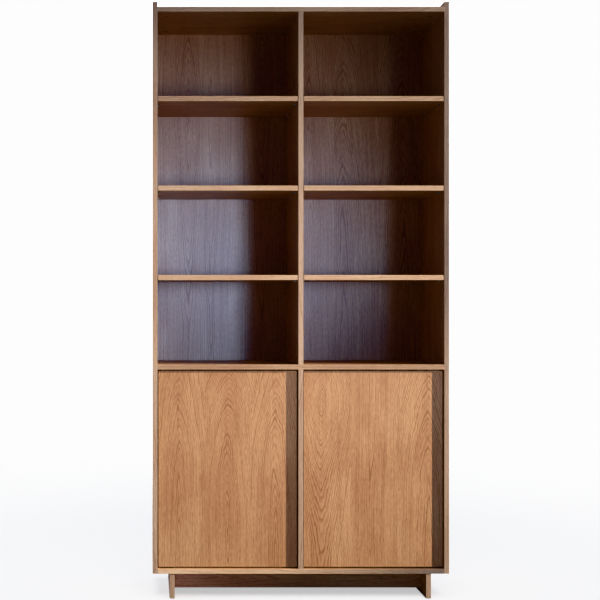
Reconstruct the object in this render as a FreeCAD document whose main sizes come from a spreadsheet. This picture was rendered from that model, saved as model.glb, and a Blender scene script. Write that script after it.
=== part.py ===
import FreeCAD, Part

# Bookcase with two cabinet doors, in millimetres.
# +Z is up, +X is to the right seen from the front, and the front faces -Y.
# The origin is on the floor, at the middle of the width and of the depth.
# Every driving size is a cell of the sheet "sizes". The sheet "layout" holds the places worked out
# from them, so a joint, hole or gap is written once and is used by both of the pieces that meet there.

import math
import os

import Sketcher

SIZES = {
    # Boards of the case
    "board_thick": 18.0,
    "divider_thick": 18.0,
    "back_thick": 6.0,
    "bay_width": 507.0,
    "case_depth": 380.0,
    "back_recess": 19.0,  # from the rear edges in to the back panels
    "cabinet_height": 717.0,  # clear height behind the doors
    "compartment_height": 304.0,  # clear height of each open compartment
    "side_rise": 18.0,  # how far the sides stand above the top panel
    "edge_radius": 1.0,  # eased edges of the boards
    "groove_depth": 6.0,  # grooves that hold the back panels
    "groove_play": 0.2,  # across the back panel's thickness
    "groove_spare": 0.5,  # between a back panel's edge and the groove's floor
    # Loose shelves and their pins
    "shelf_thick": 18.0,
    "shelf_end_gap": 2.0,
    "shelf_setback": 1.0,
    "shelf_back_gap": 1.5,
    "cabinet_shelf_setback": 55.0,
    "cabinet_shelf_rise": 350.0,  # from the cabinet's floor to its shelf's underside
    "pin_front": 65.0,  # from the front edges to the front row of pins
    "pin_back": 61.0,  # from the back panel's face to the rear row of pins
    "pin_step": 32.0,  # between the three heights that each shelf can take
    "pin_peg": 5.0,
    "pin_bite": 6.5,
    "pin_collar": 8.0,
    "pin_collar_thick": 1.2,
    "pin_stub": 6.0,
    "pin_reach": 10.0,
    "pin_flat": 0.6,  # how much is cut off the stub's top to seat the shelf
    # Base frame
    "base_thick": 18.0,
    "runner_height": 92.0,
    "runner_inset": 62.0,  # from a side's outer face to the runner's outer face
    "runner_setback": 15.0,
    "rail_inset": 90.0,  # from the front and rear edges to the rails
    "rail_rise": 21.0,  # from the runners' lower edge to the rails' lower edge
    "rail_screw_edge": 18.0,
    "panel_screw_end": 55.0,  # from a runner's ends to its first and last screw from above
    "glide_size": 16.0,
    "glide_thick": 3.0,
    "glide_stem": 5.0,
    "glide_stem_length": 10.0,
    "glide_inset": 30.0,
    # Cam fittings between the sides and the horizontal boards
    "cam_size": 15.0,
    "cam_web": 1.5,
    "cam_reach": 34.0,
    "cam_inset": 75.0,
    "cam_play": 0.3,  # around the bolt's head inside the cam
    "cam_slot": 1.4,
    "cam_slot_length": 8.0,
    "cam_slot_depth": 2.0,
    "bolt_thread": 5.0,
    "bolt_bite": 11.0,
    "bolt_collar": 7.0,
    "bolt_collar_thick": 1.5,
    "bolt_neck": 4.0,
    "bolt_head": 6.0,
    "bolt_head_length": 4.0,
    "bolt_channel": 8.0,
    "cap_size": 17.0,
    "cap_thick": 0.8,
    # Dowels
    "dowel_size": 8.0,
    "dowel_length": 30.0,
    "dowel_bite": 10.0,
    "dowel_step": 32.0,
    "dowel_chamfer": 0.8,
    "through_bite": 20.0,
    "divider_inset": 90.0,  # from a divider's edges to its first and last fixing
    # Screws
    "long_screw": 5.0,
    "long_screw_length": 50.0,
    "long_screw_head": 9.0,
    "small_screw": 3.0,
    "small_screw_length": 14.0,
    "small_screw_head": 5.6,
    "latch_screw_length": 10.0,
    "pan_screw": 3.5,
    "pan_screw_length": 18.0,
    "bracket_screw_length": 14.0,
    "pan_head": 7.0,
    "pan_head_height": 2.0,
    "screw_slot": 0.8,
    "screw_slot_depth": 0.8,
    "screw_point": 3.0,
    # Clearances of holes
    "hole_play": 0.1,  # added to the diameter of what goes in
    "hole_spare": 0.5,  # added to the depth of what goes in
    # Doors and their pivot hinges
    "door_thick": 18.0,
    "door_gap": 5.0,  # above and below a door, where its hinges are
    "door_side_gap": 3.0,
    "door_recess": 12.0,
    "pivot_inset": 19.0,  # from a side's inner face to the pivot's axis
    "pivot_size": 5.0,
    "pivot_bite": 10.0,
    "pivot_play": 0.1,  # running fit, on the diameter
    "pivot_hole_play": 0.6,
    "plate_thick": 2.0,
    "plate_width": 14.0,
    "plate_tail": 36.0,
    "plate_screw_near": 17.0,
    "plate_screw_far": 33.0,
    "washer_size": 11.0,
    "washer_play": 0.2,
    # Push-to-open latches
    "latch_drop": 100.0,  # from the fixed shelf down to the latch's axis
    "latch_inset": 22.0,  # from the divider's face to the latch's axis
    "latch_size": 16.0,
    "latch_length": 44.0,
    "latch_wall": 3.0,
    "latch_foot_thick": 3.0,
    "latch_foot_height": 46.0,
    "latch_foot_depth": 16.0,
    "latch_screw_spacing": 32.0,
    "latch_web": 8.0,
    "plunger_size": 8.0,
    "plunger_play": 0.16,
    "plunger_out": 6.0,
    "plunger_travel": 4.0,
    "plunger_rest": 1.0,  # left behind the plunger when it is pressed in
    "plunger_hollow": 6.0,
    "plunger_hollow_depth": 16.0,
    "plunger_round": 1.5,
    "tip_gap": 0.3,
    "strike_size": 13.0,
    "strike_thick": 1.2,
    "spring_size": 5.0,
    "spring_wire": 0.7,
    "spring_pitch": 2.4,
    # Brackets against tipping
    "bracket_thick": 2.0,
    "bracket_width": 30.0,
    "bracket_leg": 45.0,
    "bracket_height": 17.0,
    "bracket_spacing": 600.0,
    "bracket_bore": 5.2,
    "bracket_bore_rise": 10.0,
    "bracket_screw_spacing": 16.0,
    "bracket_screw_inset": 36.0,
}

ROWS = 4  # open compartments above each other
PIN_CHOICES = (-1, 0, 1)  # heights that a shelf can take, in steps
LEFT = -1
RIGHT = 1
HANDS = {"left": LEFT, "right": RIGHT}

LAYOUT = {
    # Across the width, from the middle
    "divider_face": "=sizes.divider_thick / 2",
    "side_inner": "=divider_face + sizes.bay_width",
    "side_outer": "=side_inner + sizes.board_thick",
    "bay_middle": "=divider_face + sizes.bay_width / 2",
    # Through the depth
    "front": "=-sizes.case_depth / 2",
    "rear": "=sizes.case_depth / 2",
    "back_rear": "=rear - sizes.back_recess",
    "back_face": "=back_rear - sizes.back_thick",
    "pin_front_y": "=front + sizes.pin_front",
    "pin_back_y": "=back_face - sizes.pin_back",
    "cam_front_y": "=front + sizes.cam_inset",
    "cam_back_y": "=rear - sizes.cam_inset",
    "dowel_front_y": "=cam_front_y + sizes.dowel_step",
    "dowel_back_y": "=cam_back_y - sizes.dowel_step",
    "divider_front_y": "=front + sizes.divider_inset",
    "divider_back_y": "=back_face - sizes.divider_inset",
    "divider_middle_y": "=(front + back_face) / 2",
    # Heights
    "base_top": "=sizes.glide_thick + sizes.runner_height",
    "floor_top": "=base_top + sizes.board_thick",
    "fixed_low": "=floor_top + sizes.cabinet_height",
    "fixed_top": "=fixed_low + sizes.board_thick",
    "row_step": "=sizes.compartment_height + sizes.shelf_thick",
    "top_low": f"=fixed_top + {ROWS} * row_step - sizes.shelf_thick",
    "top_top": "=top_low + sizes.board_thick",
    "side_top": "=top_top + sizes.side_rise",
    "cabinet_shelf_low": "=floor_top + sizes.cabinet_shelf_rise",
    "pin_drop": "=sizes.pin_stub / 2 - sizes.pin_flat",
    # Doors, pivots and latches
    "door_inner_x": "=divider_face + sizes.door_side_gap",
    "door_outer_x": "=side_inner - sizes.door_side_gap",
    "door_face": "=front + sizes.door_recess",
    "door_back": "=door_face + sizes.door_thick",
    "door_low": "=floor_top + sizes.door_gap",
    "door_top": "=fixed_low - sizes.door_gap",
    "pivot_x": "=side_inner - sizes.pivot_inset",
    "pivot_y": "=door_face + sizes.door_thick / 2",
    "washer_thick": "=sizes.door_gap - 2 * sizes.plate_thick - sizes.washer_play",
    "latch_x": "=divider_face + sizes.latch_inset",
    "latch_z": "=fixed_low - sizes.latch_drop",
    "latch_front": "=door_back + sizes.strike_thick + sizes.tip_gap + sizes.plunger_out",
    "latch_floor": "=latch_front + sizes.latch_length - sizes.latch_wall",
    "plunger_back": "=latch_floor - sizes.plunger_travel - sizes.plunger_rest",
    # Base frame
    "runner_outer": "=side_outer - sizes.runner_inset",
    "runner_inner": "=runner_outer - sizes.base_thick",
    "runner_middle": "=runner_outer - sizes.base_thick / 2",
    "runner_front": "=front + sizes.runner_setback",
    "runner_rear": "=rear - sizes.runner_setback",
    "rail_low": "=sizes.glide_thick + sizes.rail_rise",
    "rail_front_y": "=front + sizes.rail_inset",
    "rail_rear_y": "=rear - sizes.rail_inset - sizes.base_thick",
    # Holes
    "cam_depth": "=sizes.board_thick / 2 + sizes.bolt_head / 2 + sizes.cam_web",
    "cam_hole": "=sizes.cam_size + sizes.hole_play",
    "dowel_hole": "=sizes.dowel_size + sizes.hole_play",
    "pin_hole": "=sizes.pin_peg + sizes.hole_play",
    "bolt_hole": "=sizes.bolt_thread + sizes.hole_play",
    "long_hole": "=sizes.long_screw + sizes.hole_play",
    "long_sink": "=sizes.long_screw_head + sizes.hole_play",
    "small_hole": "=sizes.small_screw + sizes.hole_play",
    "small_sink": "=sizes.small_screw_head + sizes.hole_play",
    "pan_hole": "=sizes.pan_screw + sizes.hole_play",
}

document = FreeCAD.newDocument("bookcase")


def add_sheet(name, cells):
    """Spreadsheet with one alias to a row."""
    sheet = document.addObject("Spreadsheet::Sheet", name)
    for row, (alias, content) in enumerate(cells.items(), start=1):
        sheet.set(f"A{row}", alias)
        sheet.set(f"B{row}", str(content))
        sheet.setAlias(f"B{row}", alias)
    document.recompute()
    return sheet


sizes = add_sheet("sizes", SIZES)
layout = add_sheet("layout", LAYOUT)
pieces = []  # every finished sub-part, in the order of making


def value(expression):
    """Number that an expression of the two sheets gives."""
    return float(layout.evalExpression(expression))


def point(x, y, z):
    """Point whose coordinates are given as expressions."""
    return FreeCAD.Vector(value(x), value(y), value(z))


def mirrored(hand, expression):
    """The expression, on the left or the right of the middle."""
    return f"{hand} * ({expression})"


# Sketches and features of the boards. A level is where a plane crosses its own axis, and a
# direction of 1 or -1 says which way along that axis the feature goes.

NORMAL_SIGN = {"XY_Plane": 1, "YZ_Plane": 1, "XZ_Plane": -1}
TOUCH = 1e-6  # two places closer than this are one


def add_body(name):
    """Empty sub-part."""
    body = document.addObject("PartDesign::Body", name)
    pieces.append(body)
    return body


def add_sketch(body, role, level):
    """Sketch parallel to one of the body's origin planes, at a level."""
    plane = next(f for f in body.Origin.OriginFeatures if f.Role == role)
    sketch = body.newObject("Sketcher::SketchObject", f"{body.Name}_sketch")
    sketch.AttachmentSupport = (plane, "")
    sketch.MapMode = "FlatFace"
    sketch.setExpression("AttachmentOffset.Base.z", f"{NORMAL_SIGN[role]} * ({level})")
    return sketch


def hold(sketch, kind, geometry, vertex, expression):
    """Ties one coordinate of a sketch point to an expression."""
    number = value(expression)
    index = sketch.addConstraint(Sketcher.Constraint(kind, -1, 1, geometry, vertex, number))
    sketch.setExpression(f"Constraints[{index}]", expression)


def hold_size(sketch, kind, geometry, expression):
    """Ties a radius or a diameter to an expression."""
    index = sketch.addConstraint(Sketcher.Constraint(kind, geometry, value(expression)))
    sketch.setExpression(f"Constraints[{index}]", expression)


def draw_polygon(sketch, corners):
    """Closed outline through corners given as pairs of expressions."""
    spots = [FreeCAD.Vector(value(u), value(v), 0) for u, v in corners]
    first = sketch.GeometryCount
    for start, end in zip(spots, spots[1:] + spots[:1]):
        sketch.addGeometry(Part.LineSegment(start, end), False)
    count = len(corners)
    for index, (u, v) in enumerate(corners):
        line = first + index
        after = first + (index + 1) % count
        sketch.addConstraint(Sketcher.Constraint("Coincident", line, 2, after, 1))
        hold(sketch, "DistanceX", line, 1, u)
        hold(sketch, "DistanceY", line, 1, v)


def draw_rectangle(sketch, left, right, low, high):
    """Rectangle between four expressions."""
    draw_polygon(sketch, [(left, low), (right, low), (right, high), (left, high)])


def draw_circles(sketch, spots, diameter):
    """Circles of one diameter about the given spots."""
    for u, v in spots:
        centre = FreeCAD.Vector(value(u), value(v), 0)
        circle = Part.Circle(centre, FreeCAD.Vector(0, 0, 1), value(diameter) / 2)
        index = sketch.addGeometry(circle, False)
        hold(sketch, "DistanceX", index, 3, u)
        hold(sketch, "DistanceY", index, 3, v)
        hold_size(sketch, "Diameter", index, diameter)


def draw_slot(sketch, left, right, middle, width):
    """Round-ended slot along the sketch's first axis, between two end centres."""
    x0, x1, y, r = value(left), value(right), value(middle), value(width) / 2
    up = FreeCAD.Vector(0, 0, 1)
    quarter = math.pi / 2
    left_circle = Part.Circle(FreeCAD.Vector(x0, y, 0), up, r)
    right_circle = Part.Circle(FreeCAD.Vector(x1, y, 0), up, r)
    first = sketch.GeometryCount
    left_arc, low_line, right_arc, high_line = range(first, first + 4)
    sketch.addGeometry(Part.ArcOfCircle(left_circle, quarter, 3 * quarter), False)
    sketch.addGeometry(
        Part.LineSegment(FreeCAD.Vector(x0, y - r, 0), FreeCAD.Vector(x1, y - r, 0)), False
    )
    sketch.addGeometry(Part.ArcOfCircle(right_circle, -quarter, quarter), False)
    sketch.addGeometry(
        Part.LineSegment(FreeCAD.Vector(x1, y + r, 0), FreeCAD.Vector(x0, y + r, 0)), False
    )
    joints = (
        (left_arc, 2, low_line, 1),
        (low_line, 2, right_arc, 1),
        (right_arc, 2, high_line, 1),
        (high_line, 2, left_arc, 1),
    )
    for joint in joints:
        sketch.addConstraint(Sketcher.Constraint("Tangent", *joint))
    for arc, centre in ((left_arc, left), (right_arc, right)):
        hold(sketch, "DistanceX", arc, 3, centre)
        hold(sketch, "DistanceY", arc, 3, middle)
        hold_size(sketch, "Radius", arc, f"{width} / 2")


def pad(body, sketch, role, length):
    """Material from the sketch's plane towards its axis's positive end."""
    feature = body.newObject("PartDesign::Pad", f"{body.Name}_pad")
    feature.Profile = sketch
    feature.Reversed = NORMAL_SIGN[role] < 0
    feature.setExpression("Length", length)
    document.recompute()
    return feature


def pocket(body, sketch, role, direction, depth, taper=0.0):
    """Cuts the sketch into the body, and stops if nothing was cut."""
    before = body.Shape.Volume
    feature = body.newObject("PartDesign::Pocket", f"{body.Name}_pocket")
    feature.Profile = sketch
    feature.Reversed = direction * NORMAL_SIGN[role] > 0
    feature.setExpression("Length", depth)
    feature.TaperAngle = taper
    document.recompute()
    if not body.Shape.Volume < before:
        raise RuntimeError(f"{feature.Name} cut nothing")


def drill(body, role, level, direction, spots, diameter, depth):
    """Round holes of one diameter and depth."""
    sketch = add_sketch(body, role, level)
    draw_circles(sketch, spots, diameter)
    pocket(body, sketch, role, direction, depth)


def countersink(body, role, level, direction, spots, diameter, bore):
    """Cones of 90 degrees around holes, from a diameter at the surface down to the bore."""
    sketch = add_sketch(body, role, level)
    draw_circles(sketch, spots, diameter)
    pocket(body, sketch, role, direction, f"({diameter} - {bore}) / 2", taper=-45.0)


def round_edges(body, feature, radius, rearmost):
    """Rounds the edges of a feature that lie no further back than the given y."""
    names = [
        f"Edge{number}"
        for number, edge in enumerate(feature.Shape.Edges, start=1)
        if edge.BoundBox.YMax < rearmost + TOUCH
    ]
    fillet = body.newObject("PartDesign::Fillet", f"{body.Name}_rounded")
    fillet.Base = (feature, names)
    fillet.setExpression("Radius", radius)
    document.recompute()


def board(name, role, level, thick, outline):
    """Rectangular board with its four front edges eased."""
    body = add_body(name)
    sketch = add_sketch(body, role, level)
    draw_rectangle(sketch, *outline)
    feature = pad(body, sketch, role, thick)
    round_edges(body, feature, "sizes.edge_radius", feature.Shape.BoundBox.YMin)
    return body


# Turned pieces. Each is worked out along +Z, which is the way it goes into its hole, with the
# surface that it goes into at height 0.


def turned(outline):
    """Solid of revolution from (radius, height) corners that begin and end on the axis."""
    corners = [FreeCAD.Vector(radius, 0, height) for radius, height in outline]
    profile = Part.Face(Part.makePolygon(corners + corners[:1]))
    solid = profile.revolve(FreeCAD.Vector(0, 0, 0), FreeCAD.Vector(0, 0, 1), 360)
    return solid if solid.Volume > 0 else solid.reversed()


def placed(shape, spot, direction):
    """Copy of a turned shape, moved to a spot and turned from +Z to a direction."""
    copy = shape.copy()
    turn = FreeCAD.Rotation(FreeCAD.Vector(0, 0, 1), FreeCAD.Vector(*direction))
    copy.Placement = FreeCAD.Placement(spot, turn)
    return copy


def add_group(name, solids):
    """Sub-part made of like solids that each stand alone."""
    feature = document.addObject("Part::Feature", name)
    feature.Shape = Part.makeCompound(solids)
    pieces.append(feature)


def cross_slot(radius, width, depth, height):
    """Two crossed bars, to be cut out of a screw's or cam's face."""
    bars = []
    for angle in (0, 90):
        corner = FreeCAD.Vector(-radius, -width / 2, height)
        bar = Part.makeBox(2 * radius, width, depth, corner)
        bar.rotate(FreeCAD.Vector(0, 0, 0), FreeCAD.Vector(0, 0, 1), angle)
        bars.append(bar)
    return bars[0].fuse(bars[1])


def flat_screw(shank, head, length):
    """Countersunk screw with its head flush at height 0."""
    radius, head_radius = value(shank) / 2, value(head) / 2
    end = value(length)
    tip = value("sizes.screw_point")
    outline = [
        (0, 0),
        (head_radius, 0),
        (radius, head_radius - radius),
        (radius, end - tip),
        (0, end),
    ]
    slot = cross_slot(
        radius, value("sizes.screw_slot"), value("sizes.screw_slot_depth"), 0
    )
    return turned(outline).cut(slot)


def pan_screw(shank, length):
    """Screw whose domed head stands on the surface at height 0."""
    radius = value(shank) / 2
    head_radius = value("sizes.pan_head") / 2
    rise = value("sizes.pan_head_height")
    end = value(length)
    tip = value("sizes.screw_point")
    outline = [
        (0, -rise),
        (head_radius - rise / 2, -rise),
        (head_radius, -rise / 3),
        (head_radius, 0),
        (radius, 0),
        (radius, end - tip),
        (0, end),
    ]
    slot = cross_slot(
        radius, value("sizes.screw_slot"), value("sizes.screw_slot_depth"), -rise
    )
    return turned(outline).cut(slot)


def dowel(length):
    """Beech dowel with chamfered ends, from height 0 upwards."""
    radius = value("sizes.dowel_size") / 2
    end = value(length)
    chamfer = value("sizes.dowel_chamfer")
    return turned(
        [
            (0, 0),
            (radius - chamfer, 0),
            (radius, chamfer),
            (radius, end - chamfer),
            (radius - chamfer, end),
            (0, end),
        ]
    )


# Places where pieces meet, as pairs of expressions.

SHELF_LOWS = [
    f"layout.fixed_top + {row} * layout.row_step - sizes.shelf_thick" for row in range(1, ROWS)
]
CABINET_LOW = "layout.cabinet_shelf_low"
CASE_BOARDS = {  # the boards between the sides, by their undersides
    "bottom_panel": "layout.base_top",
    "fixed_shelf": "layout.fixed_low",
    "top_panel": "layout.top_low",
}
CAM_YS = ("layout.cam_front_y", "layout.cam_back_y")
DOWEL_YS = ("layout.dowel_front_y", "layout.dowel_back_y")
DIVIDER_SCREW_YS = ("layout.divider_front_y", "layout.divider_back_y")
DIVIDER_YS = (*DIVIDER_SCREW_YS, "layout.divider_middle_y")
PIN_YS = ("layout.pin_front_y", "layout.pin_back_y")
RAIL_YS = ("layout.rail_front_y", "layout.rail_rear_y")
LONG_SINK = ("layout.long_sink", "layout.long_hole")
SMALL_SINK = ("layout.small_sink", "layout.small_hole")


def both_sides(x, ys):
    """Spots at one distance to the left and right of the middle, at each of the depths."""
    return [(mirrored(hand, x), y) for hand in HANDS.values() for y in ys]


def middle_of(underside):
    """Height of a case board's middle."""
    return f"{underside} + sizes.board_thick / 2"


def pin_height(underside, choice):
    """Height of a pin's axis below a shelf, in one of the shelf's three places."""
    return f"{underside} - layout.pin_drop + {choice} * sizes.pin_step"


def pin_spots(undersides):
    """Pin holes on one wall: (y, z) for every shelf, row and height."""
    return [
        (y, pin_height(low, choice)) for low in undersides for y in PIN_YS for choice in PIN_CHOICES
    ]


def back_screw_heights(low, high, count):
    """Heights that divide a divider's length evenly."""
    return [f"{low} + ({high} - {low}) * {step} / {count + 1}" for step in range(1, count + 1)]


BACK_SCREWS = {
    "upper": back_screw_heights("layout.fixed_top", "layout.top_low", 5),
    "lower": back_screw_heights("layout.floor_top", "layout.fixed_low", 3),
}
FRAME_SCREW_ZS = (
    "layout.rail_low + sizes.rail_screw_edge",
    "layout.base_top - sizes.rail_screw_edge",
)
FRAME_SCREW_YS = [f"{y} + sizes.base_thick / 2" for y in RAIL_YS]
PANEL_SCREW_YS = (
    "layout.runner_front + sizes.panel_screw_end",
    "(layout.runner_front + layout.runner_rear) / 2",
    "layout.runner_rear - sizes.panel_screw_end",
)
GLIDE_YS = ("layout.runner_front + sizes.glide_inset", "layout.runner_rear - sizes.glide_inset")
LATCH_SCREW_Y = "layout.latch_front + sizes.latch_foot_depth / 2"
LATCH_SCREW_ZS = [f"layout.latch_z + {end} * sizes.latch_screw_spacing / 2" for end in (-1, 1)]
PLATE_SCREWS = [f"layout.pivot_x - sizes.{reach}" for reach in ("plate_screw_near", "plate_screw_far")]
BRACKET_XS = [f"{hand} * sizes.bracket_spacing / 2" for hand in HANDS.values()]
BRACKET_SCREWS = [
    (f"{x} + {end} * sizes.bracket_screw_spacing / 2", "layout.rear - sizes.bracket_screw_inset")
    for x in BRACKET_XS
    for end in (-1, 1)
]


# The case


def make_side_panel(name, hand):
    """Full-height side with its groove, pin holes, bolt holes and dowel holes."""
    face = mirrored(hand, "layout.side_inner")
    level = face if hand == RIGHT else mirrored(hand, "layout.side_outer")
    outline = ("layout.front", "layout.rear", "layout.base_top", "layout.side_top")
    body = board(name, "YZ_Plane", level, "sizes.board_thick", outline)
    groove = add_sketch(body, "YZ_Plane", face)
    draw_rectangle(
        groove,
        "layout.back_face",
        "layout.back_rear + sizes.groove_play",
        "layout.floor_top - sizes.groove_depth",
        "layout.top_low + sizes.groove_depth",
    )
    pocket(body, groove, "YZ_Plane", hand, "sizes.groove_depth")

    def holes(spots, diameter, depth):
        drill(body, "YZ_Plane", face, hand, spots, diameter, f"{depth} + sizes.hole_spare")

    middles = [middle_of(underside) for underside in CASE_BOARDS.values()]
    holes(pin_spots([*SHELF_LOWS, CABINET_LOW]), "layout.pin_hole", "sizes.pin_bite")
    holes([(y, z) for y in CAM_YS for z in middles], "layout.bolt_hole", "sizes.bolt_bite")
    holes([(y, z) for y in DOWEL_YS for z in middles], "layout.dowel_hole", "sizes.dowel_bite")


def make_case_board(name):
    """Horizontal board between the sides, with its cam bores and the holes in its two ends."""
    underside = CASE_BOARDS[name]
    middle = middle_of(underside)
    outline = ("-layout.side_inner", "layout.side_inner", "layout.front", "layout.rear")
    body = board(name, "XY_Plane", underside, "sizes.board_thick", outline)
    for hand in HANDS.values():
        face = mirrored(hand, "layout.side_inner")
        channels = [(y, middle) for y in CAM_YS]
        drill(body, "YZ_Plane", face, -hand, channels, "sizes.bolt_channel", "sizes.cam_reach")
        dowels = [(y, middle) for y in DOWEL_YS]
        depth = "sizes.dowel_length - sizes.dowel_bite + sizes.hole_spare"
        drill(body, "YZ_Plane", face, -hand, dowels, "layout.dowel_hole", depth)
    cams = both_sides("layout.side_inner - sizes.cam_reach", CAM_YS)
    depth = "layout.cam_depth + sizes.hole_spare"
    drill(body, "XY_Plane", underside, 1, cams, "layout.cam_hole", depth)
    return body


def cut_back_groove(body, level, direction):
    """Groove along a case board for the edge of a back panel."""
    sketch = add_sketch(body, "XY_Plane", level)
    draw_rectangle(
        sketch,
        "-layout.side_inner",
        "layout.side_inner",
        "layout.back_face",
        "layout.back_rear + sizes.groove_play",
    )
    pocket(body, sketch, "XY_Plane", direction, "sizes.groove_depth")


def cut_hinge_holes(body, level, direction):
    """Screw holes for the two pivot plates on one face of a case board."""
    spots = [spot for x in PLATE_SCREWS for spot in both_sides(x, ["layout.pivot_y"])]
    depth = "sizes.small_screw_length - sizes.plate_thick + sizes.hole_spare"
    drill(body, "XY_Plane", level, direction, spots, "layout.small_hole", depth)


def make_top_panel():
    """Top board: back groove below, divider screws and bracket screws above."""
    body = make_case_board("top_panel")
    cut_back_groove(body, "layout.top_low", 1)
    screws = [("0", y) for y in DIVIDER_SCREW_YS]
    drill(body, "XY_Plane", "layout.top_top", -1, screws, "layout.long_hole", "sizes.board_thick")
    countersink(body, "XY_Plane", "layout.top_top", -1, screws, *LONG_SINK)
    middle = [("0", "layout.divider_middle_y")]
    depth = "sizes.dowel_bite + sizes.hole_spare"
    drill(body, "XY_Plane", "layout.top_low", 1, middle, "layout.dowel_hole", depth)
    depth = "sizes.bracket_screw_length - sizes.bracket_thick + sizes.hole_spare"
    drill(body, "XY_Plane", "layout.top_top", -1, BRACKET_SCREWS, "layout.pan_hole", depth)


def make_bottom_panel():
    """Cabinet floor: back groove, hinge screws and base screws above, divider screws below."""
    body = make_case_board("bottom_panel")
    cut_back_groove(body, "layout.floor_top", -1)
    cut_hinge_holes(body, "layout.floor_top", -1)
    screws = [("0", y) for y in DIVIDER_SCREW_YS]
    drill(body, "XY_Plane", "layout.base_top", 1, screws, "layout.long_hole", "sizes.board_thick")
    countersink(body, "XY_Plane", "layout.base_top", 1, screws, *LONG_SINK)
    middle = [("0", "layout.divider_middle_y")]
    depth = "sizes.dowel_bite + sizes.hole_spare"
    drill(body, "XY_Plane", "layout.floor_top", -1, middle, "layout.dowel_hole", depth)
    runners = both_sides("layout.runner_middle", PANEL_SCREW_YS)
    drill(body, "XY_Plane", "layout.floor_top", -1, runners, "layout.long_hole", "sizes.board_thick")
    countersink(body, "XY_Plane", "layout.floor_top", -1, runners, *LONG_SINK)


def make_fixed_shelf():
    """Board between bookcase and cabinet: grooves on both faces and through dowels."""
    body = make_case_board("fixed_shelf")
    cut_back_groove(body, "layout.fixed_top", -1)
    cut_back_groove(body, "layout.fixed_low", 1)
    cut_hinge_holes(body, "layout.fixed_low", 1)
    dowels = [("0", y) for y in DIVIDER_YS]
    drill(body, "XY_Plane", "layout.fixed_low", 1, dowels, "layout.dowel_hole", "sizes.board_thick")


def make_divider(name, low, high, undersides, through_end, back_heights):
    """Middle upright: pin holes on both faces, through dowels at one end, screws at the other."""
    outline = ("layout.front", "layout.back_face", low, high)
    body = board(name, "YZ_Plane", "-layout.divider_face", "sizes.divider_thick", outline)
    for hand in HANDS.values():
        face = mirrored(hand, "layout.divider_face")
        depth = "sizes.pin_bite + sizes.hole_spare"
        drill(body, "YZ_Plane", face, -hand, pin_spots(undersides), "layout.pin_hole", depth)
    screw_end = high if through_end == low else low
    inwards = 1 if through_end == low else -1
    dowels = [("0", y) for y in DIVIDER_YS]
    depth = "sizes.through_bite + sizes.hole_spare"
    drill(body, "XY_Plane", through_end, inwards, dowels, "layout.dowel_hole", depth)
    screws = [("0", y) for y in DIVIDER_SCREW_YS]
    depth = "sizes.long_screw_length - sizes.board_thick + sizes.hole_spare"
    drill(body, "XY_Plane", screw_end, -inwards, screws, "layout.long_hole", depth)
    middle = [("0", "layout.divider_middle_y")]
    depth = "sizes.dowel_length - sizes.dowel_bite + sizes.hole_spare"
    drill(body, "XY_Plane", screw_end, -inwards, middle, "layout.dowel_hole", depth)
    backs = [("0", z) for z in back_heights]
    depth = "sizes.pan_screw_length - sizes.back_thick + sizes.hole_spare"
    drill(body, "XZ_Plane", "layout.back_face", -1, backs, "layout.pan_hole", depth)
    return body


def make_lower_divider():
    """Cabinet's middle upright, which also carries the two latches."""
    body = make_divider(
        "divider_lower",
        "layout.floor_top",
        "layout.fixed_low",
        [CABINET_LOW],
        "layout.fixed_low",
        BACK_SCREWS["lower"],
    )
    spots = [(LATCH_SCREW_Y, z) for z in LATCH_SCREW_ZS]
    depth = "sizes.latch_screw_length - sizes.latch_foot_thick + sizes.hole_spare"
    for hand in HANDS.values():
        face = mirrored(hand, "layout.divider_face")
        drill(body, "YZ_Plane", face, -hand, spots, "layout.small_hole", depth)


def make_back_panel(name, low, high, heights):
    """Thin back whose four edges sit in grooves."""
    reach = "sizes.groove_depth - sizes.groove_spare"
    body = add_body(name)
    sketch = add_sketch(body, "XZ_Plane", "layout.back_face")
    half = f"(layout.side_inner + {reach})"
    draw_rectangle(sketch, f"-{half}", half, f"{low} - ({reach})", f"{high} + {reach}")
    pad(body, sketch, "XZ_Plane", "sizes.back_thick")
    spots = [("0", z) for z in heights]
    drill(body, "XZ_Plane", "layout.back_rear", -1, spots, "layout.pan_hole", "sizes.back_thick")


def make_shelf(name, hand, low, setback):
    """Loose shelf that lies on four pins."""
    half = "(sizes.bay_width / 2 - sizes.shelf_end_gap)"
    depth = f"layout.back_face - sizes.shelf_back_gap - layout.front - {setback}"
    outline = (f"-{half}", half, "0", depth)
    body = board(name, "XY_Plane", "0", "sizes.shelf_thick", outline)
    body.setExpression("Placement.Base.x", mirrored(hand, "layout.bay_middle"))
    body.setExpression("Placement.Base.y", f"layout.front + {setback}")
    body.setExpression("Placement.Base.z", low)


def shelf_pin():
    """Steel pin: peg in the wall, collar on it, and a stub with a flat for the shelf."""
    peg, collar, stub = (value(f"sizes.{name}") / 2 for name in ("pin_peg", "pin_collar", "pin_stub"))
    bite = value("sizes.pin_bite")
    thick = value("sizes.pin_collar_thick")
    reach = value("sizes.pin_reach")
    pin = turned(
        [
            (0, bite),
            (peg, bite),
            (peg, 0),
            (collar, 0),
            (collar, -thick),
            (stub, -thick),
            (stub, -reach),
            (0, -reach),
        ]
    )
    return pin, stub - value("sizes.pin_flat"), thick, reach


def pins_for(undersides):
    """Four pins to a shelf in each bay, with their flats facing up."""
    pin, seat, thick, reach = shelf_pin()
    solids = []
    for low in undersides:
        for y in PIN_YS:
            for wall, inwards in wall_faces():
                spot = point(wall, y, pin_height(low, 0))
                whole = placed(pin, spot, (-inwards, 0, 0))
                start = spot.x + min(inwards * thick, inwards * reach)
                corner = FreeCAD.Vector(start, spot.y - reach, spot.z + seat)
                waste = Part.makeBox(reach - thick, 2 * reach, reach, corner)
                solids.append(whole.cut(waste))
    return solids


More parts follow.
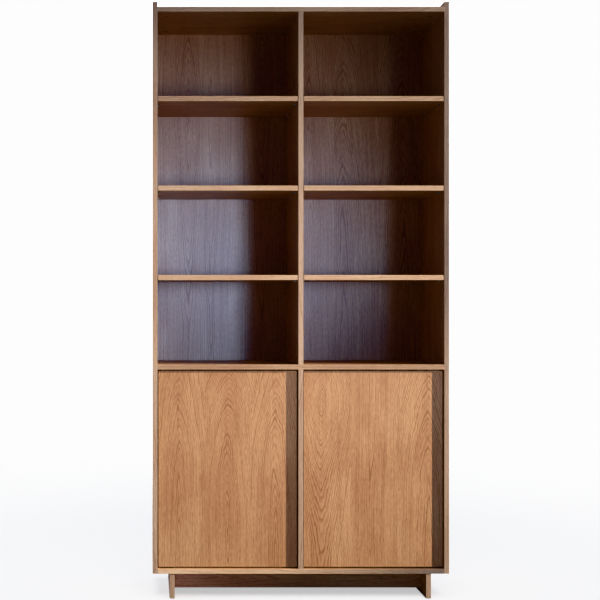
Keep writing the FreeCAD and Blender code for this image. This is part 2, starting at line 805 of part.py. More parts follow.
def wall_faces():
    """The four faces that carry pins, with the direction from each into its bay."""
    faces = []
    for hand in HANDS.values():
        faces.append((mirrored(hand, "layout.side_inner"), -hand))
        faces.append((mirrored(hand, "layout.divider_face"), hand))
    return faces


# Fittings of the case


def cam_bolt():
    """Bolt that screws into a side, with its head inside the cam."""
    thread, collar, neck, head = (
        value(f"sizes.bolt_{name}") / 2 for name in ("thread", "collar", "neck", "head")
    )
    bite = value("sizes.bolt_bite")
    thick = value("sizes.bolt_collar_thick")
    reach = value("sizes.cam_reach")
    half_head = value("sizes.bolt_head_length") / 2
    return turned(
        [
            (0, bite),
            (thread, bite),
            (thread, 0),
            (collar, 0),
            (collar, -thick),
            (neck, -thick),
            (neck, half_head - reach),
            (head, half_head - reach),
            (head, -half_head - reach),
            (0, -half_head - reach),
        ]
    )


def cam_lock():
    """Round lock with a cross slot below and a bore towards +X for the bolt's head."""
    radius = value("sizes.cam_size / 2")
    depth = value("layout.cam_depth")
    play = value("sizes.cam_play")
    barrel = Part.makeCylinder(radius, depth)
    bore_start = value("sizes.bolt_head_length / 2") + play
    bore = Part.makeCylinder(
        value("sizes.bolt_head / 2") + play,
        bore_start + radius,
        FreeCAD.Vector(-bore_start, 0, value("sizes.board_thick / 2")),
        FreeCAD.Vector(1, 0, 0),
    )
    slot = cross_slot(
        value("sizes.cam_slot_length / 2"), value("sizes.cam_slot"), value("sizes.cam_slot_depth"), 0
    )
    return barrel.cut(bore).cut(slot)


def make_case_fittings():
    """Cam locks, their bolts and caps, and the dowels between sides and case boards."""
    bolt, lock, peg = cam_bolt(), cam_lock(), dowel("sizes.dowel_length")
    cap_radius, cap_thick = value("sizes.cap_size / 2"), value("sizes.cap_thick")
    cap = turned(
        [
            (0, 0),
            (cap_radius, 0),
            (cap_radius - cap_thick / 2, -cap_thick),
            (0, -cap_thick),
        ]
    )
    bolts, locks, caps, dowels = [], [], [], []
    for name, underside in CASE_BOARDS.items():
        middle = middle_of(underside)
        for hand in HANDS.values():
            face = mirrored(hand, "layout.side_inner")
            centre = mirrored(hand, "layout.side_inner - sizes.cam_reach")
            for y in CAM_YS:
                bolts.append(placed(bolt, point(face, y, middle), (hand, 0, 0)))
                turned_lock = lock.copy()
                turned_lock.rotate(FreeCAD.Vector(0, 0, 0), FreeCAD.Vector(0, 0, 1), 90 * (1 - hand))
                turned_lock.translate(point(centre, y, underside))
                locks.append(turned_lock)
                if name != "bottom_panel":
                    caps.append(placed(cap, point(centre, y, underside), (0, 0, 1)))
            start = mirrored(hand, "layout.side_inner + sizes.dowel_bite")
            for y in DOWEL_YS:
                dowels.append(placed(peg, point(start, y, middle), (-hand, 0, 0)))
    ends = (("layout.top_low + sizes.dowel_bite", -1), ("layout.floor_top - sizes.dowel_bite", 1))
    for z, upwards in ends:
        dowels.append(placed(peg, point("0", "layout.divider_middle_y", z), (0, 0, upwards)))
    add_group("cam_bolts", bolts)
    add_group("cam_locks", locks)
    add_group("cam_caps", caps)
    add_group("wood_dowels", dowels)


def make_divider_fittings():
    """Through dowels, divider screws and the screws through the backs."""
    long_dowel = dowel("sizes.board_thick + 2 * sizes.through_bite")
    low = "layout.fixed_low - sizes.through_bite"
    add_group("through_dowels", [placed(long_dowel, point("0", y, low), (0, 0, 1)) for y in DIVIDER_YS])
    screw = flat_screw("sizes.long_screw", "sizes.long_screw_head", "sizes.long_screw_length")
    ends = (("layout.top_top", -1), ("layout.base_top", 1))
    add_group(
        "divider_screws",
        [placed(screw, point("0", y, z), (0, 0, way)) for y in DIVIDER_SCREW_YS for z, way in ends],
    )
    screw = pan_screw("sizes.pan_screw", "sizes.pan_screw_length")
    heights = [*BACK_SCREWS["upper"], *BACK_SCREWS["lower"]]
    add_group(
        "back_screws", [placed(screw, point("0", "layout.back_rear", z), (0, -1, 0)) for z in heights]
    )


# Base frame


def make_runner(name, hand):
    """Base upright from front to rear, under the bottom panel."""
    outer = mirrored(hand, "layout.runner_outer")
    level = mirrored(hand, "layout.runner_inner") if hand == RIGHT else outer
    outline = ("layout.runner_front", "layout.runner_rear", "sizes.glide_thick", "layout.base_top")
    body = board(name, "YZ_Plane", level, "sizes.base_thick", outline)
    frame = [(y, z) for y in FRAME_SCREW_YS for z in FRAME_SCREW_ZS]
    drill(body, "YZ_Plane", outer, -hand, frame, "layout.long_hole", "sizes.base_thick")
    countersink(body, "YZ_Plane", outer, -hand, frame, *LONG_SINK)
    middle = mirrored(hand, "layout.runner_middle")
    tops = [(middle, y) for y in PANEL_SCREW_YS]
    depth = "sizes.long_screw_length - sizes.board_thick + sizes.hole_spare"
    drill(body, "XY_Plane", "layout.base_top", -1, tops, "layout.long_hole", depth)
    feet = [(middle, y) for y in GLIDE_YS]
    stem = "sizes.glide_stem + sizes.hole_play"
    depth = "sizes.glide_stem_length + sizes.hole_spare"
    drill(body, "XY_Plane", "sizes.glide_thick", 1, feet, stem, depth)


def make_rail(name, y):
    """Board across the base between the runners."""
    outline = ("-layout.runner_inner", "layout.runner_inner", "layout.rail_low", "layout.base_top")
    body = board(name, "XZ_Plane", y, "sizes.base_thick", outline)
    spots = [(f"{y} + sizes.base_thick / 2", z) for z in FRAME_SCREW_ZS]
    depth = "sizes.long_screw_length - sizes.base_thick + sizes.hole_spare"
    for hand in HANDS.values():
        end = mirrored(hand, "layout.runner_inner")
        drill(body, "YZ_Plane", end, -hand, spots, "layout.long_hole", depth)


def make_base_fittings():
    """Screws of the base frame and the glides that it stands on."""
    screw = flat_screw("sizes.long_screw", "sizes.long_screw_head", "sizes.long_screw_length")
    frame = [
        placed(screw, point(mirrored(hand, "layout.runner_outer"), y, z), (-hand, 0, 0))
        for hand in HANDS.values()
        for y in FRAME_SCREW_YS
        for z in FRAME_SCREW_ZS
    ]
    add_group("base_frame_screws", frame)
    panel = [
        placed(screw, point(mirrored(hand, "layout.runner_middle"), y, "layout.floor_top"), (0, 0, -1))
        for hand in HANDS.values()
        for y in PANEL_SCREW_YS
    ]
    add_group("base_panel_screws", panel)
    radius, thick = value("sizes.glide_size / 2"), value("sizes.glide_thick")
    stem, length = value("sizes.glide_stem / 2"), value("sizes.glide_stem_length")
    glide = turned(
        [
            (0, -thick),
            (radius - thick / 3, -thick),
            (radius, -thick * 2 / 3),
            (radius, 0),
            (stem, 0),
            (stem, length),
            (0, length),
        ]
    )
    glides = [
        placed(glide, point(mirrored(hand, "layout.runner_middle"), y, "sizes.glide_thick"), (0, 0, 1))
        for hand in HANDS.values()
        for y in GLIDE_YS
    ]
    add_group("floor_glides", glides)


# Doors, pivots and latches


def make_door(name, hand):
    """Flat door with all its edges eased, drilled for its pivots, plates and strike."""
    inner, outer = (mirrored(hand, f"layout.door_{side}_x") for side in ("inner", "outer"))
    body = add_body(name)
    sketch = add_sketch(body, "XZ_Plane", "layout.door_face")
    left, right = (outer, inner) if hand == LEFT else (inner, outer)
    draw_rectangle(sketch, left, right, "layout.door_low", "layout.door_top")
    feature = pad(body, sketch, "XZ_Plane", "sizes.door_thick")
    round_edges(body, feature, "sizes.edge_radius", feature.Shape.BoundBox.YMax)
    pivot = [(mirrored(hand, "layout.pivot_x"), "layout.pivot_y")]
    screws = [(mirrored(hand, x), "layout.pivot_y") for x in PLATE_SCREWS]
    bore = "sizes.pivot_size + sizes.pivot_hole_play"
    for level, inwards in (("layout.door_low", 1), ("layout.door_top", -1)):
        drill(body, "XY_Plane", level, inwards, pivot, bore, "sizes.pivot_bite + sizes.hole_spare")
        depth = "sizes.small_screw_length - sizes.plate_thick + sizes.hole_spare"
        drill(body, "XY_Plane", level, inwards, screws, "layout.small_hole", depth)
    strike = [(mirrored(hand, "layout.latch_x"), "layout.latch_z")]
    depth = "sizes.latch_screw_length - sizes.strike_thick + sizes.hole_spare"
    drill(body, "XZ_Plane", "layout.door_back", -1, strike, "layout.small_hole", depth)


def add_plates(body, hand, level, outer_side, pivot_hole):
    """One pivot plate; outer_side is 1 if its screw heads are on the upper face."""
    pivot = mirrored(hand, "layout.pivot_x")
    tail = mirrored(hand, "layout.pivot_x - sizes.plate_tail")
    left, right = (pivot, tail) if hand == LEFT else (tail, pivot)
    sketch = add_sketch(body, "XY_Plane", level)
    draw_slot(sketch, left, right, "layout.pivot_y", "sizes.plate_width")
    pad(body, sketch, "XY_Plane", "sizes.plate_thick")
    face = f"{level} + sizes.plate_thick" if outer_side > 0 else level
    spots = [(pivot, "layout.pivot_y")]
    drill(body, "XY_Plane", face, -outer_side, spots, pivot_hole, "sizes.plate_thick")
    screws = [(mirrored(hand, x), "layout.pivot_y") for x in PLATE_SCREWS]
    drill(body, "XY_Plane", face, -outer_side, screws, "layout.small_hole", "sizes.plate_thick")
    countersink(body, "XY_Plane", face, -outer_side, screws, *SMALL_SINK)


def make_pivot_plates():
    """Plates on the case and plates on the doors' edges, with the door gap between them shared."""
    fixed = "sizes.pivot_size + sizes.hole_play"
    running = "sizes.pivot_size + sizes.pivot_play"
    body = add_body("pivot_plates_carcass")
    for hand in HANDS.values():
        add_plates(body, hand, "layout.floor_top", 1, fixed)
        add_plates(body, hand, "layout.fixed_low - sizes.plate_thick", -1, fixed)
    for side, hand in HANDS.items():
        body = add_body(f"pivot_plates_door_{side}")
        add_plates(body, hand, "layout.door_low - sizes.plate_thick", -1, running)
        add_plates(body, hand, "layout.door_top", 1, running)


def make_pivots():
    """Pivot pins, the washers that carry the doors, and the plates' screws."""
    ends = (("layout.floor_top", 1), ("layout.fixed_low", -1))
    length = value("sizes.door_gap + sizes.pivot_bite")
    radius = value("sizes.pivot_size / 2")
    chamfer = radius / 4
    pin = turned(
        [(0, 0), (radius, 0), (radius, length - chamfer), (radius - chamfer, length), (0, length)]
    )
    washer_radius, thick = value("sizes.washer_size / 2"), value("layout.washer_thick")
    hole = Part.makeCylinder(value("(sizes.pivot_size + sizes.hole_play) / 2"), thick)
    washer = Part.makeCylinder(washer_radius, thick).cut(hole)
    screw = flat_screw("sizes.small_screw", "sizes.small_screw_head", "sizes.small_screw_length")
    pins, washers, case_screws = [], [], []
    for side, hand in HANDS.items():
        x = mirrored(hand, "layout.pivot_x")
        door_screws = []
        for z, upwards in ends:
            pins.append(placed(pin, point(x, "layout.pivot_y", z), (0, 0, upwards)))
            seat = f"{z} + {upwards} * sizes.plate_thick"
            washers.append(placed(washer, point(x, "layout.pivot_y", seat), (0, 0, upwards)))
            edge = f"{z} + {upwards} * (sizes.door_gap - sizes.plate_thick)"
            for along in PLATE_SCREWS:
                across = mirrored(hand, along)
                in_case = point(across, "layout.pivot_y", seat)
                in_door = point(across, "layout.pivot_y", edge)
                case_screws.append(placed(screw, in_case, (0, 0, -upwards)))
                door_screws.append(placed(screw, in_door, (0, 0, upwards)))
        add_group(f"pivot_screws_door_{side}", door_screws)
    add_group("pivot_pins", pins)
    add_group("pivot_washers", washers)
    add_group("pivot_screws_carcass", case_screws)


def make_latch_housing(name, hand):
    """Foot on the divider, web and barrel of a push latch, bored from the front."""
    body = add_body(name)
    depth_end = "layout.latch_front + sizes.latch_foot_depth"
    foot = ("layout.divider_face", "sizes.latch_foot_thick", "sizes.latch_foot_height")
    web = (
        "layout.divider_face + sizes.latch_foot_thick",
        "(sizes.latch_inset - sizes.latch_foot_thick)",
        "sizes.latch_web",
    )
    for start, thick, height in (foot, web):
        level = start if hand == RIGHT else f"-({start} + {thick})"
        sketch = add_sketch(body, "YZ_Plane", level)
        low, high = (f"layout.latch_z + {end} * {height} / 2" for end in (-1, 1))
        draw_rectangle(sketch, "layout.latch_front", depth_end, low, high)
        pad(body, sketch, "YZ_Plane", thick)
    axis = [(mirrored(hand, "layout.latch_x"), "layout.latch_z")]
    sketch = add_sketch(body, "XZ_Plane", "layout.latch_front")
    draw_circles(sketch, axis, "sizes.latch_size")
    pad(body, sketch, "XZ_Plane", "sizes.latch_length")
    bore = "sizes.plunger_size + sizes.plunger_play"
    depth = "sizes.latch_length - sizes.latch_wall"
    drill(body, "XZ_Plane", "layout.latch_front", 1, axis, bore, depth)
    face = mirrored(hand, "layout.divider_face + sizes.latch_foot_thick")
    screws = [(LATCH_SCREW_Y, z) for z in LATCH_SCREW_ZS]
    drill(body, "YZ_Plane", face, -hand, screws, "layout.small_hole", "sizes.latch_foot_thick")
    countersink(body, "YZ_Plane", face, -hand, screws, *SMALL_SINK)


def make_latch_plunger(name, hand):
    """Round plunger, hollow behind for its spring and rounded at its tip."""
    body = add_body(name)
    axis = [(mirrored(hand, "layout.latch_x"), "layout.latch_z")]
    sketch = add_sketch(body, "XZ_Plane", "layout.latch_front - sizes.plunger_out")
    draw_circles(sketch, axis, "sizes.plunger_size")
    length = "layout.plunger_back - layout.latch_front + sizes.plunger_out"
    feature = pad(body, sketch, "XZ_Plane", length)
    round_edges(body, feature, "sizes.plunger_round", feature.Shape.BoundBox.YMin)
    hollow = "sizes.plunger_hollow_depth"
    drill(body, "XZ_Plane", "layout.plunger_back", -1, axis, "sizes.plunger_hollow", hollow)


def latch_spring(hand):
    """Coil spring from the barrel's floor into the plunger's hollow, as it is when pressed."""
    wire = value("sizes.spring_wire / 2")
    radius = value("sizes.spring_size / 2") - wire
    room = value("sizes.plunger_rest + sizes.plunger_hollow_depth - sizes.tip_gap")
    height = room - 2 * wire
    path = Part.Wire(Part.makeHelix(value("sizes.spring_pitch"), height, radius).Edges)
    section = Part.Wire(
        [Part.makeCircle(wire, FreeCAD.Vector(radius, 0, 0), FreeCAD.Vector(0, 1, 0))]
    )
    coil = path.makePipeShell([section], True, True)
    coil.translate(FreeCAD.Vector(0, 0, wire))
    spot = point(mirrored(hand, "layout.latch_x"), "layout.latch_floor", "layout.latch_z")
    return placed(Part.makeCompound([coil]), spot, (0, -1, 0))


def make_strike(side, hand):
    """Steel disc on the back of a door, where the plunger pushes."""
    body = add_body(f"strike_plate_{side}")
    spots = [(mirrored(hand, "layout.latch_x"), "layout.latch_z")]
    sketch = add_sketch(body, "XZ_Plane", "layout.door_back")
    draw_circles(sketch, spots, "sizes.strike_size")
    pad(body, sketch, "XZ_Plane", "sizes.strike_thick")
    face = "layout.door_back + sizes.strike_thick"
    drill(body, "XZ_Plane", face, -1, spots, "layout.small_hole", "sizes.strike_thick")
    sink = "sizes.small_screw + 2 * sizes.strike_thick"
    screw = flat_screw("sizes.small_screw", sink, "sizes.latch_screw_length")
    countersink(body, "XZ_Plane", face, -1, spots, f"({sink})", "sizes.small_screw")
    spot = point(mirrored(hand, "layout.latch_x"), face, "layout.latch_z")
    add_group(f"strike_screw_{side}", [placed(screw, spot, (0, -1, 0))])


def make_latches():
    """A push latch for each door."""
    screw = flat_screw("sizes.small_screw", "sizes.small_screw_head", "sizes.latch_screw_length")
    screws = []
    for side, hand in HANDS.items():
        make_latch_housing(f"latch_housing_{side}", hand)
        make_latch_plunger(f"latch_plunger_{side}", hand)
        add_group(f"latch_spring_{side}", [latch_spring(hand)])
        make_strike(side, hand)
        face = mirrored(hand, "layout.divider_face + sizes.latch_foot_thick")
        for z in LATCH_SCREW_ZS:
            screws.append(placed(screw, point(face, LATCH_SCREW_Y, z), (-hand, 0, 0)))
    add_group("latch_screws", screws)


# Brackets against tipping


def make_brackets():
    """Two steel angles on the top panel, flush with the rear edges, for a screw into a wall."""
    body = add_body("anti_tip_brackets")
    rear, low = "layout.rear", "layout.top_top"
    inner = "layout.rear - sizes.bracket_thick"
    corners = [
        ("layout.rear - sizes.bracket_leg", low),
        (rear, low),
        (rear, f"{low} + sizes.bracket_height"),
        (inner, f"{low} + sizes.bracket_height"),
        (inner, f"{low} + sizes.bracket_thick"),
        ("layout.rear - sizes.bracket_leg", f"{low} + sizes.bracket_thick"),
    ]
    for x in BRACKET_XS:
        sketch = add_sketch(body, "YZ_Plane", f"{x} - sizes.bracket_width / 2")
        draw_polygon(sketch, corners)
        pad(body, sketch, "YZ_Plane", "sizes.bracket_width")
    face = "layout.top_top + sizes.bracket_thick"
    drill(body, "XY_Plane", face, -1, BRACKET_SCREWS, "layout.pan_hole", "sizes.bracket_thick")
    bores = [(x, f"{low} + sizes.bracket_bore_rise") for x in BRACKET_XS]
    drill(body, "XZ_Plane", rear, -1, bores, "sizes.bracket_bore", "sizes.bracket_thick")
    screw = pan_screw("sizes.pan_screw", "sizes.bracket_screw_length")
    screws = [placed(screw, point(x, y, face), (0, 0, -1)) for x, y in BRACKET_SCREWS]
    add_group("bracket_screws", screws)


def make_case():
    """Sides, case boards, dividers and backs."""
    for side, hand in HANDS.items():
        make_side_panel(f"side_panel_{side}", hand)
    make_top_panel()
    make_bottom_panel()
    make_fixed_shelf()
    make_divider(
        "divider_upper",
        "layout.fixed_top",
        "layout.top_low",
        SHELF_LOWS,
        "layout.fixed_top",
        BACK_SCREWS["upper"],
    )
    make_lower_divider()
    make_back_panel("back_panel_upper", "layout.fixed_top", "layout.top_low", BACK_SCREWS["upper"])
    make_back_panel("back_panel_lower", "layout.floor_top", "layout.fixed_low", BACK_SCREWS["lower"])


def make_shelves():
    """Loose shelves of the bookcase and the cabinet, and the pins below them."""
    for side, hand in HANDS.items():
        for number, low in enumerate(SHELF_LOWS, start=1):
            make_shelf(f"shelf_{side}_{number}", hand, low, "sizes.shelf_setback")
        make_shelf(f"cabinet_shelf_{side}", hand, CABINET_LOW, "sizes.cabinet_shelf_setback")
    add_group("shelf_pins_bookcase", pins_for(SHELF_LOWS))
    add_group("shelf_pins_cabinet", pins_for([CABINET_LOW]))


def make_base():
    """Runners, rails and what fastens them."""
    for side, hand in HANDS.items():
        make_runner(f"base_runner_{side}", hand)
    for name, y in zip(("base_rail_front", "base_rail_rear"), RAIL_YS):
        make_rail(name, y)
    make_base_fittings()


def check_document():
    """Stops if a feature failed or a sub-part is not sound."""
    for item in document.Objects:
        if "Invalid" in item.State or "Error" in item.State:
            raise RuntimeError(f"{item.Name} failed: {item.State}")
    for piece in pieces:
        if piece.Shape.isNull() or not piece.Shape.isValid() or not piece.Shape.Solids:
            raise RuntimeError(f"{piece.Label} is not a sound solid")


def write_parts():
    """One STEP file for each sub-part, named by its label."""
    os.makedirs("parts", exist_ok=True)
    for piece in pieces:
        piece.Shape.exportStep(f"parts/{piece.Label}.step")


make_case()
make_shelves()
make_case_fittings()
make_divider_fittings()
make_base()
for side_name, side_hand in HANDS.items():
    make_door(f"door_{side_name}", side_hand)
make_pivot_plates()
make_pivots()
make_latches()
make_brackets()
document.recompute()
check_document()
write_parts()
print(len(pieces), "sub-parts written")
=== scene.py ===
"""Finishes for a tall oak bookcase with two cabinet doors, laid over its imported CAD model."""

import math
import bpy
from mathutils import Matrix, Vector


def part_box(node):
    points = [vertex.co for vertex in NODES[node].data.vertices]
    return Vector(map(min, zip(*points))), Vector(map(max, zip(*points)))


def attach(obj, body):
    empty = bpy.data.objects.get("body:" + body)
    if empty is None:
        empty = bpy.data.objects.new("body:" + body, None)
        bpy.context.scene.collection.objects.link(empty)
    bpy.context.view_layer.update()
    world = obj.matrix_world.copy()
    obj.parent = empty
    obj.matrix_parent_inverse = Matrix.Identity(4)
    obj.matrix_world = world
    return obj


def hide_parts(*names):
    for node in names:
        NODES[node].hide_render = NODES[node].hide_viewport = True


bl_info = {
    "name": "Bookcase with cabinet doors",
    "version": (1, 0, 0),
    "blender": (4, 5, 0),
    "location": "View3D > Sidebar > Bookcase",
    "description": "Veneers, fittings and studio for a tall oak bookcase with cabinet doors",
    "category": "Object",
}

import bpy
import numpy as np
from bpy.props import FloatProperty, FloatVectorProperty, IntProperty, PointerProperty
from mathutils import Vector

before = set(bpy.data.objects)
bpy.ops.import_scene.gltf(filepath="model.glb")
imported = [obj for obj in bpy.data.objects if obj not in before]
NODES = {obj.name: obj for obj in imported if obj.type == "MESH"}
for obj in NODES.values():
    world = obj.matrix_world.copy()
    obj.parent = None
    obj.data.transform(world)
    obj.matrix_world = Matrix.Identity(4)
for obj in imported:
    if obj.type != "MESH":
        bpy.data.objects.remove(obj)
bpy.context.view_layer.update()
CASE = "carcass"
MM = 0.001
DEGREE = math.pi / 180
SCREW_POINT = 3 * MM
WHITE = (1.0, 1.0, 1.0, 1.0)

# Which coordinate runs across the veneer, through the board and along the grain.
UPRIGHT_FRONT = "XYZ"
UPRIGHT_SIDE = "YXZ"
LEVEL_BOARD = "YZX"
LEVEL_RAIL = "ZYX"
RUNNER = "ZXY"


# Values that a user would change


def setting(kind, **fixed):
    """Function that makes properties of one kind with the same unit and limits."""

    def make(name, description, default):
        return kind(name=name, description=description, default=default, **fixed)

    return make


length = setting(FloatProperty, min=0.0, unit="LENGTH", precision=5)
share = setting(FloatProperty, min=0.0, max=1.0)
number = setting(FloatProperty, min=0.0)
watts = setting(FloatProperty, min=0.0, unit="POWER")
beam_width = setting(FloatProperty, min=0.0, max=math.pi, subtype="ANGLE")
colour = setting(FloatVectorProperty, size=3, min=0.0, max=1.0, subtype="COLOR")
point = setting(FloatVectorProperty, subtype="TRANSLATION")
direction = setting(FloatVectorProperty, subtype="XYZ")


class BookcaseOak(bpy.types.PropertyGroup):
    """Sizes and colours of the oak veneer."""

    pale: colour("Pale wood", "Late wood between the rings", (0.585, 0.375, 0.240))
    dark: colour("Dark wood", "Porous early wood of each ring", (0.335, 0.183, 0.108))
    pore: colour("Pores", "Bottom of the open pores", (0.140, 0.078, 0.050))
    # Paler edges: wear, and a painted highlight along the arrises
    worn: colour("Worn edge", "Wood at handled edges", (0.760, 0.560, 0.400))
    band_pale: colour("Pale band", "Late wood of the edge bands", (0.650, 0.515, 0.405))
    band_dark: colour("Dark band", "Early wood of the edge bands", (0.460, 0.332, 0.246))
    ring_width: length("Ring width", "Growth of one year", 4.8 * MM)
    leaf_width: length("Leaf width", "Width of one leaf of veneer", 170 * MM)
    sway: length("Sway", "How far the figure wanders sideways", 30 * MM)
    dip: length("Dip", "How far the figure wanders in depth", 26 * MM)
    # The same reach holds the painted highlight along the edges
    edge_reach: length("Edge wear", "How far wear reaches from an edge", 4 * MM)
    roughness: share("Roughness", "Roughness of the satin lacquer", 0.42)
    relief: length("Relief", "Depth of the open pores", 0.12 * MM)


class BookcaseFittings(bpy.types.PropertyGroup):
    """Sizes and colours of the small fittings."""

    nickel: colour("Nickel", "Shelf pins and hinge pins", (0.640, 0.620, 0.580))
    steel: colour("Steel", "Plates and brackets", (0.520, 0.515, 0.500))
    bronze: colour("Bronze", "Bronzed hinge plates", (0.095, 0.070, 0.050))
    zinc: colour("Zinc", "Cam locks", (0.420, 0.425, 0.430))
    screw: colour("Screws", "Plated screws", (0.560, 0.540, 0.480))
    brown: colour("Brown plastic", "Cover caps", (0.115, 0.055, 0.030))
    grey: colour("Grey plastic", "Latch housings", (0.230, 0.230, 0.225))
    white: colour("White plastic", "Latch plungers", (0.720, 0.710, 0.680))
    nylon: colour("Nylon", "Glides under the base", (0.560, 0.545, 0.500))
    beech: colour("Beech", "Dowels", (0.560, 0.360, 0.200))
    steps: IntProperty(name="Steps", description="Sides of a turned piece", default=24, min=8)
    pin_round: length("Pin rounding", "Rounding of a shelf pin's tip", 0.9 * MM)
    cap_rim: length("Cap rim", "Height of a cover cap at its rim", 0.35 * MM)


class BookcaseStudio(bpy.types.PropertyGroup):
    """Camera, lights and floor."""

    eye: point("Eye", "Camera's place", (-0.543, -4.357, 1.055))
    lens: number("Lens", "Focal length in millimetres", 69.5)
    shift: setting(FloatVectorProperty, size=2)("Shift", "Lens shift across and up", (0.25, 0.0117))
    key_way: direction("Key direction", "Towards the key light", (3.8, -1.0, 1.1))
    front_way: direction("Front direction", "Towards the uprights' own light", (0.4, -1.0, 0.45))
    key_reach: length("Key distance", "From the bookcase to the key light", 15.0)
    key_aim: point("Key aim", "Middle of the key light's pool", (-0.35, -0.19, 0.52))
    key_angle: beam_width("Key size", "Angle that the key light fills", 0.9 * DEGREE)
    key_beam: beam_width("Key beam", "Width of the key light's beam", 15.0 * DEGREE)
    key_power: watts("Key power", "Power of the key light", 27500.0)
    front_power: watts("Front power", "Power of the uprights' own light", 5300.0)
    window_place: point("Window", "Place of the soft window light", (1.65, -3.6, 1.2))
    window_radius: length("Window size", "Radius of the window light", 0.55)
    window_aim: point("Window aim", "Middle of the window's pool of light", (-0.40, -0.1, 1.0))
    window_beam: beam_width("Window beam", "Width of the window's beam", 35.52 * DEGREE)
    window_power: watts("Window power", "Power of the soft window light", 275.0)
    inner_place: point("Inner window", "Place of the window light on the backs", (1.13, -2.63, 1.2))
    inner_radius: length("Inner window size", "Radius of the window light on the backs", 0.38)
    inner_aim: point("Inner aim", "Middle of the window's pool on the backs", (-0.40, 0.0, 1.52))
    inner_beam: beam_width("Inner beam", "Width of the window's beam on the backs", 36.67 * DEGREE)
    inner_power: watts("Inner power", "Power of the window light on the backs", 172.0)
    blue_aim: point("Blue aim", "Middle of the blue pool on the backs", (-0.40, 0.0, 1.22))
    blue_beam: beam_width("Blue beam", "Width of the blue beam on the backs", 25.21 * DEGREE)
    blue_power: watts("Blue power", "Power of the blue beam on the backs", 610.0)
    low_aim: point("Low aim", "Middle of the low pool on the right side", (0.525, -0.19, 0.1))
    low_beam: beam_width("Low beam", "Width of the low beam on the right side", 8.4 * DEGREE)
    low_power: watts("Low power", "Power of the low beam on the right side", 5550.0)
    high_aim: point("High aim", "Middle of the high pool on the right side", (0.525, -0.19, 2.05))
    high_beam: beam_width("High beam", "Width of the high beam on the right side", 6.9 * DEGREE)
    high_power: watts("High power", "Power of the high beam on the right side", 2400.0)
    bottom_aim: point("Bottom aim", "Middle of the pool on the bottom panel", (-0.90, -0.19, 0.1))
    bottom_beam: beam_width("Bottom beam", "Width of the beam on the bottom panel", 4.6 * DEGREE)
    bottom_power: watts("Bottom power", "Power of the light on the bottom panel", 31500.0)
    rail_place: point("Rail light", "Place of the faint light on the base rail", (-0.45, -0.36, 0.05))
    rail_aim: point("Rail aim", "Where the faint light looks", (-0.45, -0.11, 0.06))
    rail_power: watts("Rail power", "Power of the faint light on the base rail", 0.5)
    glint_place: point("Glint", "Place of the small light on the shelf pins", (-1.3, -3.9, 1.3))
    glint_power: watts("Glint power", "Power of the small light on the shelf pins", 120.0)
    small_radius: length("Small size", "Radius of the two small lights", 0.04)
    small_beam: beam_width("Small beam", "Width of the small lights' beams", 120.0 * DEGREE)
    floor_power: watts("Floor power", "Power of the floor's own light", 190.0)
    ceiling_power: watts("Ceiling power", "Power of the overhead light", 60.0)
    back_power: watts("Back power", "Power of the two lights behind", 60.0)
    sky: colour("Sky", "Light from all sides", (0.50, 0.67, 1.0))
    sky_power: number("Sky power", "Strength of the light from all sides", 0.27)
    backdrop: number("Backdrop", "Brightness of the white that the camera sees behind", 4.0)
    floor: colour("Floor", "Colour of the floor", (0.86, 0.855, 0.845))
    floor_reach: length("Floor reach", "Radius of the floor", 5.0)
    floor_return: share("Floor return", "Share of the light that the floor throws back", 0.25)
    floor_glow: number("Floor glow", "Brightness added to the floor for the camera", 0.55)


# Node trees


class Wires:
    """Adds nodes to one tree and joins them."""

    def __init__(self, tree):
        self.tree = tree

    def put(self, socket, value):
        """Joins an output to a socket, or sets the socket."""
        if isinstance(value, bpy.types.NodeSocket):
            self.tree.links.new(value, socket)
        else:
            socket.default_value = value

    def node(self, kind, inputs=(), **settings):
        """New shader node with its settings and inputs."""
        node = self.tree.nodes.new(f"ShaderNode{kind}")
        for name, value in settings.items():
            setattr(node, name, value)
        for key, value in dict(inputs).items():
            self.put(node.inputs[key], value)
        return node

    def math(self, operation, *values, clamp=False):
        """Result of a Math node."""
        return self.node("Math", enumerate(values), operation=operation, use_clamp=clamp).outputs[0]

    def centred(self, value):
        """Value from 0 to 1, moved to lie about 0."""
        return self.math("SUBTRACT", value, 0.5)

    def vector(self, operation, *values):
        """Result of a Vector Math node."""
        return self.node("VectorMath", enumerate(values), operation=operation).outputs[0]

    def scaled(self, value, factor):
        """Vector times one number."""
        return self.node("VectorMath", {0: value, "Scale": factor}, operation="SCALE").outputs[0]

    def stretched(self, place, *factors):
        """Place with each coordinate multiplied."""
        return self.vector("MULTIPLY", place, factors)

    def parts(self, value):
        """The three numbers of a vector."""
        return self.node("SeparateXYZ", {0: value}).outputs

    def joined(self, x=0.0, y=0.0, z=0.0):
        """Vector of three numbers."""
        return self.node("CombineXYZ", {0: x, 1: y, 2: z}).outputs[0]

    def noise(self, place, detail=2.0, rough=0.5):
        """Noise at a scale of 1."""
        inputs = {"Vector": place, "Scale": 1.0, "Detail": detail, "Roughness": rough}
        return self.node("TexNoise", inputs).outputs[0]

    def ease(self, value, low, high, start=0.0, end=1.0):
        """Smooth step from start to end between two levels."""
        inputs = {"Value": value, "From Min": low, "From Max": high, "To Min": start, "To Max": end}
        return self.node("MapRange", inputs, interpolation_type="SMOOTHSTEP").outputs[0]

    def blend(self, factor, a, b, kind="MIX"):
        """Colour mixed from two. Sockets 6 and 7 are the Mix node's colours."""
        inputs = {0: factor, 6: a, 7: b}
        return self.node("Mix", inputs, data_type="RGBA", blend_type=kind).outputs[2]

    def group(self, shared, inputs):
        """Shared effect placed in this tree, as its outputs."""
        node = self.tree.nodes.new("ShaderNodeGroup")
        node.node_tree = shared()
        for key, value in inputs.items():
            self.put(node.inputs[key], value)
        return node.outputs

    def surface(self, inputs):
        """Principled shader on the material's output."""
        shader = self.node("BsdfPrincipled", inputs)
        self.node("OutputMaterial", {"Surface": shader.outputs[0]})


